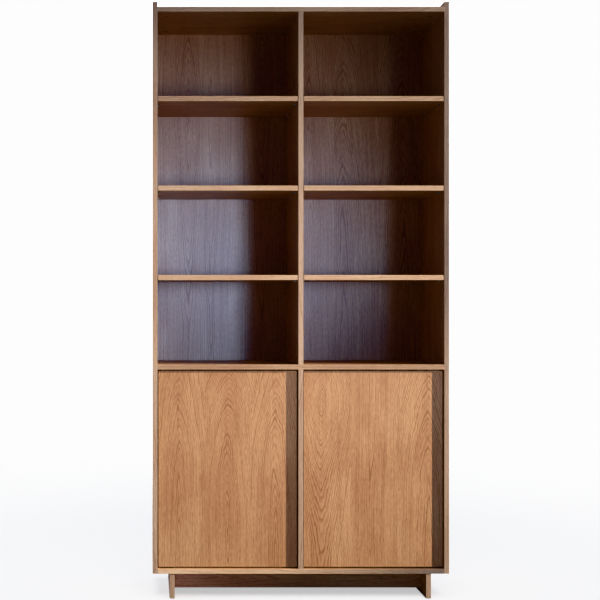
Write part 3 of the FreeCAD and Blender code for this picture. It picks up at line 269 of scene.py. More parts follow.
def emptied(holder):
    """Wires of a material's or a world's own tree, without its first nodes."""
    holder.use_nodes = True
    holder.node_tree.nodes.clear()
    return Wires(holder.node_tree)


def solid(rgb):
    """Colour with full alpha."""
    return (*rgb, 1.0)


def effect(name, inputs, outputs):
    """Turns a function that wires inputs to outputs into one that gives their node group.

    The group is built on the first call. Inputs and outputs hold the names of each kind of socket.
    """

    def wrapped(wire):
        def tree_of_effect():
            tree = bpy.data.node_groups.get(name)
            if tree:
                return tree
            tree = bpy.data.node_groups.new(name, "ShaderNodeTree")
            for way, kinds in (("INPUT", inputs), ("OUTPUT", outputs)):
                for kind, titles in kinds.items():
                    for title in titles:
                        tree.interface.new_socket(title, in_out=way, socket_type=f"NodeSocket{kind}")
            start, end = (tree.nodes.new(f"NodeGroup{side}") for side in ("Input", "Output"))
            wires = Wires(tree)
            for title, value in wire(wires, start.outputs).items():
                wires.put(end.inputs[title], value)
            return tree

        return tree_of_effect

    return wrapped


def axes_of(order):
    """Numbers of an order's coordinates."""
    return ["XYZ".index(letter) for letter in order]


# A face looks along an axis where its normal has more than this along it
FACING = 0.7


def grain_place(order):
    """Effect that turns the object's coordinates so that the grain runs along Z.

    Board ends take the edge's own grain.
    """

    @effect(f"Grain {order}", {"Vector": ("Object", "Normal")}, {"Vector": ("Place",), "Float": ("Band",)})
    def turned(wires, given):
        axes = axes_of(order)
        place = wires.parts(given["Object"])
        normal = wires.parts(given["Normal"])
        across, through, along = (place[axis] for axis in axes)
        plain = wires.joined(across, through, along)
        banded = wires.joined(through, along, across)
        on_face, at_end = (
            wires.math("GREATER_THAN", wires.math("ABSOLUTE", normal[axis]), FACING) for axis in axes[1:]
        )
        # Sockets 4 and 5 are the Mix node's vectors
        mixed = wires.node("Mix", {0: at_end, 4: plain, 5: banded}, data_type="VECTOR")
        return {"Place": mixed.outputs[1], "Band": wires.math("SUBTRACT", 1.0, on_face)}

    return turned


# Detail and roughness of the fine noises, and the levels between which such a noise rises
FINE = (3.0, 0.6)
MIDDLE = (0.3, 0.7)
FIGURE_PARTS = ("Rings", "Streaks", "Dashes", "Pores", "Tone")
OAK_NOISES = {
    # cells per metre across the veneer, through it and along the grain, then detail and roughness
    "wander": ((1.6, 1.6, 2.3), 1.0, 0.5),
    "jitter": ((34.0, 34.0, 5.0), 2.0, 0.5),
    "waves": ((52.0, 52.0, 17.0), 1.0, 0.5),
    "streaks": ((230.0, 230.0, 3.5), 3.0, 0.62),
    "dashes": ((330.0, 330.0, 60.0), 2.0, 0.6),
    "specks": ((1500.0, 1500.0, 55.0), 1.0, 0.5),
    "cloud": ((9.0, 9.0, 3.6), 2.0, 0.5),
}
# Cells per metre of radius of the noise that makes the years wide or narrow
YEARS = 42.0
# How many rings the years, the jitter and the waves move the figure by
RING_SHIFTS = (2.2, 1.5, 1.1)
# Shares of a ring over which its dark line sets in, and over which it fades
RING_START = (0.0, 0.06)
RING_FADE = (0.12, 0.75)
# Darkness of the palest ring, what the darkest adds to it, and the power that makes dark rings rare
RING_LEAST, RING_MORE, RING_RARE = 0.22, 0.75, 1.4
# Levels of the specks between which pores open, their share in late wood and what early wood adds to it
PORE_LEVELS = (0.55, 0.68)
PORES_LATE, PORES_EARLY = 0.25, 0.75
# Levels of the cloud and of the wander between which the darker tone and the heart of a leaf show
CLOUD_LEVELS = (0.32, 0.68)
HEART_LEVELS = (0.35, 0.62)
HEART_WIDTH, HEART_TONE = 60 * MM, 0.45
# Depth of a ring's line and of a pore, as shares of the relief
LINE_DEPTH, PORE_DEPTH = -0.3, -0.7
# Power that points the arches, and how far a seed of 1 moves the noises
POINTED = 1.45
SEED_STEP = (3.1, 1.7, 5.3)


@effect(
    "Oak figure",
    {
        "Vector": ("Place",),
        "Float": ("Centre", "Depth", "Slope", "Bend", "Ring width", "Seed", "Sway", "Dip"),
    },
    {"Float": (*FIGURE_PARTS, "Height")},
)
def oak_figure(wires, given):
    """Growth rings of a log cut at a slant, with streaks, pores and slow changes of tone.

    The radius is the distance from a pith that bends away along the board and wanders sideways and in
    depth: the root of the sum of both offsets, each to the power of POINTED, which gives pointed arches.
    Each ring is dark where it starts and fades outwards.
    """
    seeded = wires.vector("ADD", given["Place"], wires.scaled(SEED_STEP, given["Seed"]))
    noises = {
        title: wires.noise(wires.stretched(seeded, *cells), detail, rough)
        for title, (cells, detail, rough) in OAK_NOISES.items()
    }
    wander = wires.parts(noises["wander"].node.outputs["Color"])
    x, y, z = wires.parts(given["Place"])
    side = wires.math("MULTIPLY", wires.centred(wander[0]), given["Sway"])
    side = wires.math("ADD", wires.math("SUBTRACT", x, given["Centre"]), side)
    bent = wires.math("MULTIPLY", z, wires.math("MULTIPLY_ADD", z, given["Bend"], 1.0))
    deep = wires.math("MULTIPLY_ADD", bent, given["Slope"], wires.math("ADD", y, given["Depth"]))
    deep = wires.math("ADD", deep, wires.math("MULTIPLY", wires.centred(wander[1]), given["Dip"]))
    offsets = (wires.math("POWER", wires.math("ABSOLUTE", part), POINTED) for part in (side, deep))
    radius = wires.math("POWER", wires.math("ADD", *offsets), 1.0 / POINTED)
    years = wires.noise(wires.joined(wires.math("MULTIPLY", radius, YEARS), given["Seed"]), 1.0)
    shifts = (years, wires.centred(noises["jitter"]), wires.centred(noises["waves"]))
    rings = wires.math("DIVIDE", radius, given["Ring width"])
    for shift, most in zip(shifts, RING_SHIFTS):
        rings = wires.math("MULTIPLY_ADD", shift, most, rings)
    fraction = wires.math("FRACT", rings)
    year = wires.math("ADD", wires.math("FLOOR", rings), given["Seed"])
    weight = wires.node("TexWhiteNoise", {"W": year}, noise_dimensions="1D").outputs["Value"]
    weight = wires.math("MULTIPLY_ADD", wires.math("POWER", weight, RING_RARE), RING_MORE, RING_LEAST)
    start = wires.ease(fraction, *RING_START)
    fade = wires.ease(fraction, *RING_FADE, 1.0, 0.0)
    line = wires.math("MULTIPLY", wires.math("MULTIPLY", start, fade), weight)
    porous = wires.math("MULTIPLY_ADD", line, PORES_EARLY, PORES_LATE)
    pores = wires.math("MULTIPLY", wires.ease(noises["specks"], *PORE_LEVELS), porous)
    heart = wires.ease(wires.math("ABSOLUTE", side), 0.0, HEART_WIDTH, 1.0, 0.0)
    heart = wires.math("MULTIPLY", heart, wires.ease(wander[2], *HEART_LEVELS))
    cloud = wires.ease(noises["cloud"], *CLOUD_LEVELS)
    return {
        "Rings": line,
        "Streaks": noises["streaks"],
        "Dashes": noises["dashes"],
        "Pores": pores,
        "Tone": wires.math("MULTIPLY_ADD", heart, HEART_TONE, cloud, clamp=True),
        "Height": wires.math("MULTIPLY_ADD", line, LINE_DEPTH, wires.math("MULTIPLY", pores, PORE_DEPTH)),
    }


# Cells per metre of the noise of the wear and painted edge highlight, and how much of them is left where
# they are least
WEAR_AND_HIGHLIGHT_NOISE, WEAR_AND_HIGHLIGHT_LEAST = 45.0, 0.35


@effect("Edge wear", {"Vector": ("Object", "Low", "High"), "Float": ("Reach",)}, {"Float": ("Wear",)})
def edge_wear_and_highlight(wires, given):
    """Mask of wear and of a painted highlight, 1 along a board's edges and 0 inside its faces, broken up by
    noise.

    The distance to the nearest edge is the middle one of the distances to the box's faces.
    """
    from_low = wires.vector("SUBTRACT", given["Object"], given["Low"])
    from_high = wires.vector("SUBTRACT", given["High"], given["Object"])
    a, b, c = wires.parts(wires.vector("MINIMUM", from_low, from_high))
    lesser = wires.math("MINIMUM", a, b)
    greater = wires.math("MAXIMUM", a, b)
    middle = wires.math("MAXIMUM", lesser, wires.math("MINIMUM", greater, c))
    rough = wires.noise(wires.scaled(given["Object"], WEAR_AND_HIGHLIGHT_NOISE), *FINE)
    reach = wires.math("MULTIPLY", given["Reach"], wires.math("ADD", rough, 0.5))
    wear_and_highlight = wires.math("SUBTRACT", 1.0, wires.math("DIVIDE", middle, reach), clamp=True)
    return {"Wear": wires.math("MULTIPLY", wear_and_highlight, wires.ease(rough, *MIDDLE, WEAR_AND_HIGHLIGHT_LEAST, 1.0))}


WOOD_COLOURS = {
    # the effect's name of each colour, and the setting that holds it
    "Pale": "pale",
    "Dark": "dark",
    "Pore": "pore",
    "Worn": "worn",
    "Pale band": "band_pale",
    "Dark band": "band_dark",
}
# How dark the wood is without any figure, and what each part of the figure adds to it
PLAIN_WOOD = 0.20
STREAKS_ADD, DASHES_ADD, RINGS_ADD = 1.2, 1.5, 0.95
# Shades of the slow tone and of a darker leaf, and how much of the tone, the pores and the wear with its
# painted edge highlight shows
TONE_SHADE = (0.80, 0.72, 0.70)
LEAF_SHADE = (0.62, 0.54, 0.50)
TONE_SHOWN, PORES_SHOWN, WEAR_AND_HIGHLIGHT_SHOWN = 0.75, 0.6, 0.6
# What pores, streaks and wear add to the roughness
PORES_DULL, STREAKS_DULL, WEAR_DULL = 0.18, 0.1, -0.08


@effect(
    "Oak colour",
    {"Float": (*FIGURE_PARTS, "Wear", "Leaf", "Band"), "Color": WOOD_COLOURS},
    {"Color": ("Colour",), "Float": ("Gloss",)},
)
def oak_colour(wires, given):
    """Colour of lacquered oak from its figure, its wear and a painted highlight along its edges, and what
    they add to its roughness.
    """
    grain = wires.math("MULTIPLY_ADD", wires.centred(given["Streaks"]), STREAKS_ADD, PLAIN_WOOD)
    grain = wires.math("MULTIPLY_ADD", wires.centred(given["Dashes"]), DASHES_ADD, grain)
    grain = wires.math("MULTIPLY_ADD", given["Rings"], RINGS_ADD, grain, clamp=True)
    wood = wires.blend(grain, given["Pale"], given["Dark"])
    band = wires.blend(grain, given["Pale band"], given["Dark band"])
    wood = wires.blend(given["Band"], wood, band)
    tone = wires.math("MULTIPLY", given["Tone"], TONE_SHOWN)
    wood = wires.blend(tone, wood, solid(TONE_SHADE), "MULTIPLY")
    wood = wires.blend(given["Leaf"], wood, solid(LEAF_SHADE), "MULTIPLY")
    wood = wires.blend(wires.math("MULTIPLY", given["Pores"], PORES_SHOWN), wood, given["Pore"])
    # Paler edges, partly wear and partly a painted highlight along the arrises
    wood = wires.blend(wires.math("MULTIPLY", given["Wear"], WEAR_AND_HIGHLIGHT_SHOWN), wood, given["Worn"])
    gloss = wires.math("MULTIPLY", given["Streaks"], STREAKS_DULL)
    gloss = wires.math("MULTIPLY_ADD", given["Pores"], PORES_DULL, gloss)
    return {"Colour": wood, "Gloss": wires.math("MULTIPLY_ADD", given["Wear"], WEAR_DULL, gloss)}


# What red, green and blue stand for in the colours that hold a leaf's values, and the span of each
LEAF_VALUES = {"Centre": 1.2, "Depth": 0.4, "Slope": 0.8}


@effect("Leaf table", {"Color": ("Colour",), "Float": ("Alpha",)}, {"Float": (*LEAF_VALUES, "Tone")})
def leaf_table(wires, given):
    """Reads a leaf's centre, depth, slope and tone from a colour, where 0.5 stands for nothing."""
    channels = wires.node("SeparateColor", {0: given["Colour"]}).outputs
    placed = {
        title: wires.math("MULTIPLY", wires.centred(channel), reach)
        for channel, (title, reach) in zip(channels, LEAF_VALUES.items())
    }
    return {**placed, "Tone": given["Alpha"]}


def leaf_stop(*placed, tone):
    """Colour that the leaf table reads back as a centre, depth, slope and tone."""
    return (*(value / reach + 0.5 for value, reach in zip(placed, LEAF_VALUES.values())), tone)


@effect("Mottle", {"Vector": ("Object",), "Float": ("Cloud", "Speckle")}, {"Float": ("Cloudy", "Speckled")})
def mottle(wires, given):
    """Slow cloud and fine speckle for metal and plastic, both from 0 to 1."""
    return {
        title: wires.noise(wires.scaled(given["Object"], given[size]), *FINE)
        for title, size in (("Cloudy", "Cloud"), ("Speckled", "Speckle"))
    }


# Ranges of a plain leaf's centre, as a share of its width, and of its depth, slope and darker tone
CENTRE_RANGE, DEPTH_RANGE, SLOPE_RANGE, TONE_RANGE = (0.2, 0.8), (0.02, 0.06), (0.03, 0.08), (0.0, 0.2)


def plain_leaves(low, high, seed, tone):
    """Leaves side by side across a board, each with its own figure and a little darker than a tone."""
    oak = bpy.context.scene.bookcase_oak
    draw = np.random.default_rng(seed)
    count = max(1, round((high - low) / oak.leaf_width))
    width = (high - low) / count
    leaves = []
    for index in range(count):
        centre = low + (index + draw.uniform(*CENTRE_RANGE)) * width
        depth = draw.uniform(*DEPTH_RANGE)
        slope = draw.uniform(*SLOPE_RANGE) * draw.choice((-1, 1))
        leaves.append((index / count, centre, depth, slope, tone + draw.uniform(*TONE_RANGE)))
    return leaves


def leaf_ramp(wires, across, low, high, leaves):
    """Colours that step across a board and hold the values of its leaves."""
    inputs = {"Value": across, "From Min": low, "From Max": high}
    ramp = wires.node("ValToRGB", {"Fac": wires.node("MapRange", inputs).outputs[0]})
    table = ramp.color_ramp
    table.interpolation = "CONSTANT"
    for index, (start, *placed, tone) in enumerate(leaves):
        stop = table.elements.new(start) if index else table.elements[0]
        stop.position = start
        stop.color = leaf_stop(*placed, tone=tone)
    table.elements.remove(table.elements[-1])
    return ramp.outputs


# Share by which the pith bends further off at one end of a board, and less far at the other
BEND = 0.45
# How far apart the seeds of two leaves are whose centres are a metre apart
LEAF_SEEDS = 9.0


def oak_material(node, order, seed, leaves=None, tone=0.0):
    """Lacquered oak for one board, with its own leaves of veneer."""
    oak = bpy.context.scene.bookcase_oak
    low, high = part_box(node)
    across, through, along = axes_of(order)
    material = bpy.data.materials.new(f"oak_{node}")
    wires = emptied(material)
    given = wires.node("TexCoord").outputs
    turned = wires.group(grain_place(order), {"Object": given["Object"], "Normal": given["Normal"]})
    middle = (0.0, *(-(low[axis] + high[axis]) / 2 for axis in (through, along)))
    place = wires.node("Mapping", {"Vector": turned["Place"], "Location": middle}).outputs[0]
    edges = (low[across], high[across])
    ramp = leaf_ramp(wires, wires.parts(place)[0], *edges, leaves or plain_leaves(*edges, seed, tone))
    leaf = wires.group(leaf_table, {"Colour": ramp["Color"], "Alpha": ramp["Alpha"]})
    figure = wires.group(
        oak_figure,
        {
            "Place": place,
            **{title: leaf[title] for title in LEAF_VALUES},
            "Bend": 2 * BEND / (high[along] - low[along]),
            "Ring width": oak.ring_width,
            "Seed": wires.math("MULTIPLY_ADD", leaf["Centre"], LEAF_SEEDS, float(seed)),
            "Sway": oak.sway,
            "Dip": oak.dip,
        },
    )
    box = {"Object": given["Object"], "Low": low, "High": high, "Reach": oak.edge_reach}
    finish = wires.group(
        oak_colour,
        {
            **{title: figure[title] for title in FIGURE_PARTS},
            # Mask of wear and of a painted highlight along the edges
            "Wear": wires.group(edge_wear_and_highlight, box)["Wear"],
            "Leaf": leaf["Tone"],
            "Band": turned["Band"],
            **{title: solid(getattr(oak, key)) for title, key in WOOD_COLOURS.items()},
        },
    )
    rough = wires.math("ADD", finish["Gloss"], oak.roughness - STREAKS_DULL / 2)
    bump = wires.node("Bump", {"Height": figure["Height"], "Strength": 1.0, "Distance": oak.relief})
    wires.surface({"Base Color": finish["Colour"], "Roughness": rough, "Normal": bump.outputs[0]})
    return material


FITTING_FINISHES = {
    # colour's setting, metallic, roughness, clouds and speckles per metre, spread of the gloss, tooth
    "nickel": ("nickel", 1.0, 0.26, 90.0, 1400.0, 0.12, 0.02 * MM),
    "steel_plate": ("steel", 1.0, 0.36, 70.0, 1100.0, 0.12, 0.02 * MM),
    "bronzed_plate": ("bronze", 1.0, 0.42, 70.0, 1100.0, 0.12, 0.02 * MM),
    "spring_wire": ("steel", 1.0, 0.30, 300.0, 2500.0, 0.12, 0.02 * MM),
    "screw_plate": ("screw", 1.0, 0.33, 200.0, 1500.0, 0.12, 0.02 * MM),
    "cast_zinc": ("zinc", 1.0, 0.50, 160.0, 1600.0, 0.20, 0.05 * MM),
    "brown_plastic": ("brown", 0.0, 0.45, 80.0, 2200.0, 0.20, 0.05 * MM),
    "grey_plastic": ("grey", 0.0, 0.50, 60.0, 2400.0, 0.20, 0.05 * MM),
    "white_plastic": ("white", 0.0, 0.38, 60.0, 2000.0, 0.12, 0.02 * MM),
    "nylon": ("nylon", 0.0, 0.50, 120.0, 1800.0, 0.12, 0.02 * MM),
    "beech": ("beech", 0.0, 0.60, 40.0, 700.0, 0.15, 0.10 * MM),
}
# Share of the colour that is left where a fitting is darkest
CLOUD_DARK = 0.72


def build_fitting(name):
    """Metal, plastic or beech with a cloudy tone, uneven gloss and a fine tooth."""
    key, metallic, roughness, cloud, speckle, spread, tooth = FITTING_FINISHES[name]
    rgb = getattr(bpy.context.scene.bookcase_fittings, key)
    material = bpy.data.materials.new(name)
    wires = emptied(material)
    place = wires.node("TexCoord").outputs["Object"]
    cloudy, speckled = wires.group(mottle, {"Object": place, "Cloud": cloud, "Speckle": speckle})
    darker = tuple(value * CLOUD_DARK for value in rgb)
    base = wires.blend(wires.ease(cloudy, *MIDDLE), solid(rgb), solid(darker))
    rough = wires.math("MULTIPLY_ADD", speckled, spread, roughness - spread / 2)
    rough = wires.math("MULTIPLY_ADD", cloudy, spread, rough)
    bump = wires.node("Bump", {"Height": speckled, "Strength": 0.6, "Distance": tooth})
    inputs = {"Base Color": base, "Metallic": metallic, "Roughness": rough, "Normal": bump.outputs[0]}
    wires.surface(inputs)
    return material


def fitting_material(name):
    """Fitting's material of that name, built the first time it is asked for."""
    return bpy.data.materials.get(name) or build_fitting(name)


def finish_nodes(names, material):
    """Gives CAD nodes a material."""
    for name in names:
        slots = NODES[name].material_slots
        if not slots:
            NODES[name].data.materials.append(material)
        for slot in slots:
            slot.material = material


def finish_boards(boards, first_seed, **tones):
    """Gives each board its own veneer, from the orders of the boards and the tones of the darker ones."""
    for seed, (node, order) in enumerate(boards.items(), start=first_seed):
        finish_nodes([node], oak_material(node, order, seed, tone=tones.get(node, 0.0)))


def finish_fittings(finishes):
    """Gives CAD nodes the fitting's material that they are listed under."""
    for name, nodes in finishes.items():
        finish_nodes(nodes, fitting_material(name))


# Surfaces worked out as grids


def frame_of(axis):
    """Two unit vectors across a unit axis, right-handed with it, the second one up if it can be."""
    axis = np.asarray(axis, float)
    up = np.array((0.0, 0.0, 1.0)) if abs(axis[2]) < 0.5 else np.array((0.0, 1.0, 0.0))
    side = np.cross(up, axis)
    return side / np.linalg.norm(side), up


def turned_points(profile, steps, axis):
    """Profile of (radius, height) pairs turned about an axis.

    Point (i, j) is height_i along the axis plus radius_i times (cos a_j side + sin a_j up), with
    a_j = 2 pi j / steps. The profile starts and ends on the axis.
    """
    radius, height = np.asarray(profile, float).T
    angle = np.arange(steps) * 2 * math.pi / steps
    side, up = frame_of(axis)
    ring = np.cos(angle)[:, None] * side + np.sin(angle)[:, None] * up
    return height[:, None, None] * np.asarray(axis, float) + radius[:, None, None] * ring


def turned_faces(rows, steps):
    """Faces of a turned grid whose first and last rows are single points."""
    j = np.arange(steps)
    after = (j + 1) % steps
    inner = rows - 2
    ring = 1 + np.arange(inner)[:, None] * steps
    here, there = ring[:-1], ring[1:]
    quads = np.stack([here + j, here + after, there + after, there + j], axis=-1).reshape(-1, 4)
    first = np.stack([0 * j, 1 + after, 1 + j], axis=-1)
    top = 1 + inner * steps
    last = top - steps
    final = np.stack([0 * j + top, last + j, last + after], axis=-1)
    return first.tolist() + quads.tolist() + final.tolist()


def closed_vertices(grid):
    """Vertices of a turned grid, with each pole once."""
    return np.vstack([grid[:1, 0], grid[1:-1].reshape(-1, 3), grid[-1:, 0]])


def new_piece(name, grids, body, material, replaced):
    """Mesh object of turned grids that rides on a body and stands for a CAD node."""
    points, faces, start = [], [], 0
    for grid in grids:
        vertices = closed_vertices(grid)
        faces += [[index + start for index in face] for face in turned_faces(*grid.shape[:2])]
        points.append(vertices)
        start += len(vertices)
    mesh = bpy.data.meshes.new(name)
    mesh.from_pydata(np.vstack(points).tolist(), [], faces)
    mesh.polygons.foreach_set("use_smooth", np.ones(len(faces), bool))
    mesh.set_sharp_from_angle(angle=40 * DEGREE)
    mesh.materials.append(material)
    piece = bpy.data.objects.new(name, mesh)
    bpy.context.scene.collection.objects.link(piece)
    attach(piece, body)
    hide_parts(replaced)


def arc(radius, height, start, end, count, centre):
    """Part of an ellipse as profile points: radius cos a and height sin a from its centre, a in degrees."""
    angle = np.radians(np.linspace(start, end, count))
    return [(centre[0] + radius * math.cos(a), centre[1] + height * math.sin(a)) for a in angle]


def at_spots(grid, spots):
    """The grid once at each spot."""
    return [grid + np.asarray(spot, float) for spot in spots]


def vertices_of(node):
    """A CAD node's vertices as an array."""
    mesh = NODES[node].data
    flat = np.empty(len(mesh.vertices) * 3)
    mesh.vertices.foreach_get("co", flat)
    return flat.reshape(-1, 3)


def screw_grid(axis, head, shank, reach, rise, steps):
    """Screw with a pressed cross in its head; the axis runs from its point to its head.

    The head is an ellipse that stands up by rise, or a cone flush with the surface where rise is 0.
    The recess lies where the lesser of |x| and |y| is under its half width. Its depth is the root of
    how far in from its end a point is, and so it is deepest in the middle.
    """
    ease, lip, bevel, shoulder = 0.2 * MM, 0.05 * MM, 0.15 * MM, 30
    wall, crown = rise / 3, 0.67 * rise
    outline = [(0.0, -reach), (shank, SCREW_POINT - reach)]
    if rise:
        outline += [(shank, -ease), (head - ease, 0.0)]
        outline += arc(head, crown, 0, shoulder, 3, (0, wall))
        rim = head * math.cos(math.radians(shoulder))
    else:
        outline += [(shank, shank - head), (head, -lip)]
        rim = head - bevel
    rows = np.linspace(rim, 0.0, 14)
    level = wall + crown * np.sqrt(1 - (rows / head) ** 2) if rise else 0 * rows
    outline += list(zip(rows, level))
    grid = turned_points(outline, steps, axis)
    side, up = frame_of(axis)
    across, along = np.abs(grid @ side), np.abs(grid @ up)
    half_width, flank, recess_reach, deepest = 0.42 * MM, 0.18 * MM, 0.62 * head, 1.1 * MM
    inside = np.clip((half_width - np.minimum(across, along)) / flank + 0.5, 0, 1)
    cone = np.clip(1 - np.hypot(across, along) / recess_reach, 0, 1) ** 0.5
    depth = deepest * inside * cone
    depth[: len(outline) - len(rows)] = 0
    return grid - depth[..., None] * np.asarray(axis, float)


# Pieces


class BOOKCASE_OT_case(bpy.types.Operator):
    """Veneers of the sides, the fixed boards and the dividers"""

    bl_idname = "bookcase.case"
    bl_label = "Case"

    def execute(self, context):
        uprights = ("side_panel_left", "side_panel_right", "divider_upper", "divider_lower")
        levels = ("top_panel", "fixed_shelf", "bottom_panel")
        boards = {**dict.fromkeys(uprights, UPRIGHT_SIDE), **dict.fromkeys(levels, LEVEL_BOARD)}
        finish_boards(boards, first_seed=11, fixed_shelf=0.7)
        return {"FINISHED"}


class BOOKCASE_OT_backs(bpy.types.Operator):
    """Veneers of the two back panels"""

    bl_idname = "bookcase.backs"
    bl_label = "Back panels"

    def execute(self, context):
        boards = dict.fromkeys(("back_panel_upper", "back_panel_lower"), UPRIGHT_FRONT)
        finish_boards(boards, first_seed=31)
        return {"FINISHED"}


class BOOKCASE_OT_shelves(bpy.types.Operator):
    """Veneers of the loose shelves"""

    bl_idname = "bookcase.shelves"
    bl_label = "Shelves"

    def execute(self, context):
        names = [f"shelf_{side}_{row}" for side in ("left", "right") for row in (1, 2, 3)]
        names += ["cabinet_shelf_left", "cabinet_shelf_right"]
        finish_boards(dict.fromkeys(names, LEVEL_BOARD), first_seed=41)
        return {"FINISHED"}


DOOR_LEAVES = {
    # start across the door, then the figure's centre, depth, slope and darker tone
    "door_left": [
        (0.0, -0.440, 0.030, 0.100, 0.05),
        (0.335, -0.262, 0.027, 0.160, 0.0),
        (0.665, -0.090, 0.036, 0.110, 0.08),
    ],
    "door_right": [
        (0.0, 0.076, 0.074, -0.210, 0.0),
        (0.335, 0.253, 0.022, -0.016, 0.07),
        (0.665, 0.462, 0.050, 0.120, 0.02),
    ],
}


class BOOKCASE_OT_doors(bpy.types.Operator):
    """Veneers of the two doors, three leaves to each"""

    bl_idname = "bookcase.doors"
    bl_label = "Doors"

    def execute(self, context):
        for seed, (node, leaves) in enumerate(DOOR_LEAVES.items(), start=3):
            finish_nodes([node], oak_material(node, UPRIGHT_FRONT, seed, leaves))
        return {"FINISHED"}


class BOOKCASE_OT_base(bpy.types.Operator):
    """Veneers of the base frame"""

    bl_idname = "bookcase.base"
    bl_label = "Base"

    def execute(self, context):
        runners = dict.fromkeys(("base_runner_left", "base_runner_right"), RUNNER)
        rails = dict.fromkeys(("base_rail_front", "base_rail_rear"), LEVEL_RAIL)
        finish_boards({**runners, **rails}, first_seed=61)
        return {"FINISHED"}


class BOOKCASE_OT_shelf_pins(bpy.types.Operator):
    """Nickel shelf pins: a peg, a collar with eased rims and a stub with a flat for the shelf"""

    bl_idname = "bookcase.shelf_pins"
    bl_label = "Shelf pins"

    def execute(self, context):
        fittings = context.scene.bookcase_fittings
        peg, collar, stub = 2.5 * MM, 4.0 * MM, 3.0 * MM
        bite, thick, reach, seat = 6.5 * MM, 1.2 * MM, 10.0 * MM, 2.4 * MM
        ease, hair, tip = 0.3 * MM, 0.01 * MM, fittings.pin_round
        outline = [(0.0, -bite), (peg - ease, -bite), (peg, ease - bite), (peg, -hair)]
        outline += [(collar - ease, 0.0), (collar, ease), (collar, thick - ease), (collar - ease, thick)]
        outline += [(stub + ease, thick), (stub, thick + ease)]
        outline += arc(tip, tip, 0, 90, 5, (stub - tip, reach - tip)) + [(0.0, reach)]
        side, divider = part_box("side_panel_left")[1][0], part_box("divider_upper")[0][0]
        walls = ((side, 1), (divider, -1), (-divider, 1), (-side, -1))
        low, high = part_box("shelf_pins_bookcase")
        rows = (low[1] + collar, high[1] - collar)
        levels = {
            "shelf_pins_bookcase": [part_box(f"shelf_left_{row}")[0][2] for row in (1, 2, 3)],
            "shelf_pins_cabinet": [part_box("cabinet_shelf_left")[0][2]],
        }
        for node, undersides in levels.items():
            grids = []
            for wall, inwards in walls:
                grid = turned_points(outline, fittings.steps, (inwards, 0, 0))
                # Past the collar, the stub is cut off level with the seat
                held = grid[..., 0] * inwards > thick
                grid[..., 2] = np.where(held, np.minimum(grid[..., 2], seat), grid[..., 2])
                grids += at_spots(grid, [(wall, y, under - seat) for y in rows for under in undersides])
            name = node.replace("shelf_pins", "nickel_pins")
            new_piece(name, grids, CASE, fitting_material("nickel"), node)
        return {"FINISHED"}


class BOOKCASE_OT_cam_caps(bpy.types.Operator):
    """Domed brown caps over the cam locks"""

    bl_idname = "bookcase.cam_caps"
    bl_label = "Cam caps"

    def execute(self, context):
        fittings = context.scene.bookcase_fittings
        low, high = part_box("cam_caps")
        radius, thick, ease = 8.5 * MM, 0.8 * MM, 0.1 * MM
        # The dome is half an ellipse that stands on the rim
        rows = np.linspace(radius, 0.0, 8)
        dome = fittings.cap_rim + (thick - fittings.cap_rim) * np.sqrt(1 - (rows / radius) ** 2)
        outline = [(0.0, 0.0), (radius - ease, 0.0), (radius, ease), *zip(rows, dome)]
        grid = turned_points(outline, fittings.steps, (0, 0, -1))
        x, y = high[0] - radius, high[1] - radius
        spots = [
            (x * hand, y * end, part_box(board)[0][2])
            for board in ("top_panel", "fixed_shelf")
            for hand in (-1, 1)
            for end in (-1, 1)
        ]
        plastic = fitting_material("brown_plastic")
        grids = at_spots(grid, spots)
        new_piece("cover_caps", grids, CASE, plastic, "cam_caps")
        return {"FINISHED"}


class BOOKCASE_OT_glides(bpy.types.Operator):
    """Nylon glides with a rounded foot, nailed into the runners"""

    bl_idname = "bookcase.glides"
    bl_label = "Glides"

    def execute(self, context):
        fittings = context.scene.bookcase_fittings
        low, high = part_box("floor_glides")
        radius, stem, thick, tall = 8.0 * MM, 2.5 * MM, 3.0 * MM, high[2]
        rounding, step, ease, tip = 1.4 * MM, 0.6 * MM, 0.2 * MM, 2 * MM
        outline = [(0.0, 0.0), (radius - rounding - step, 0.0)]
        outline += arc(rounding, rounding, -90, 0, 6, (radius - rounding, rounding))
        outline += [(radius, thick - ease), (radius - ease, thick), (stem, thick)]
        outline += [(stem, tall - tip), (0.0, tall)]
        grid = turned_points(outline, fittings.steps, (0, 0, 1))
        x, y = high[0] - radius, high[1] - radius
        grids = at_spots(grid, [(x * hand, y * end, 0.0) for hand in (-1, 1) for end in (-1, 1)])
        plastic = fitting_material("nylon")
        new_piece("nylon_glides", grids, CASE, plastic, "floor_glides")
        return {"FINISHED"}


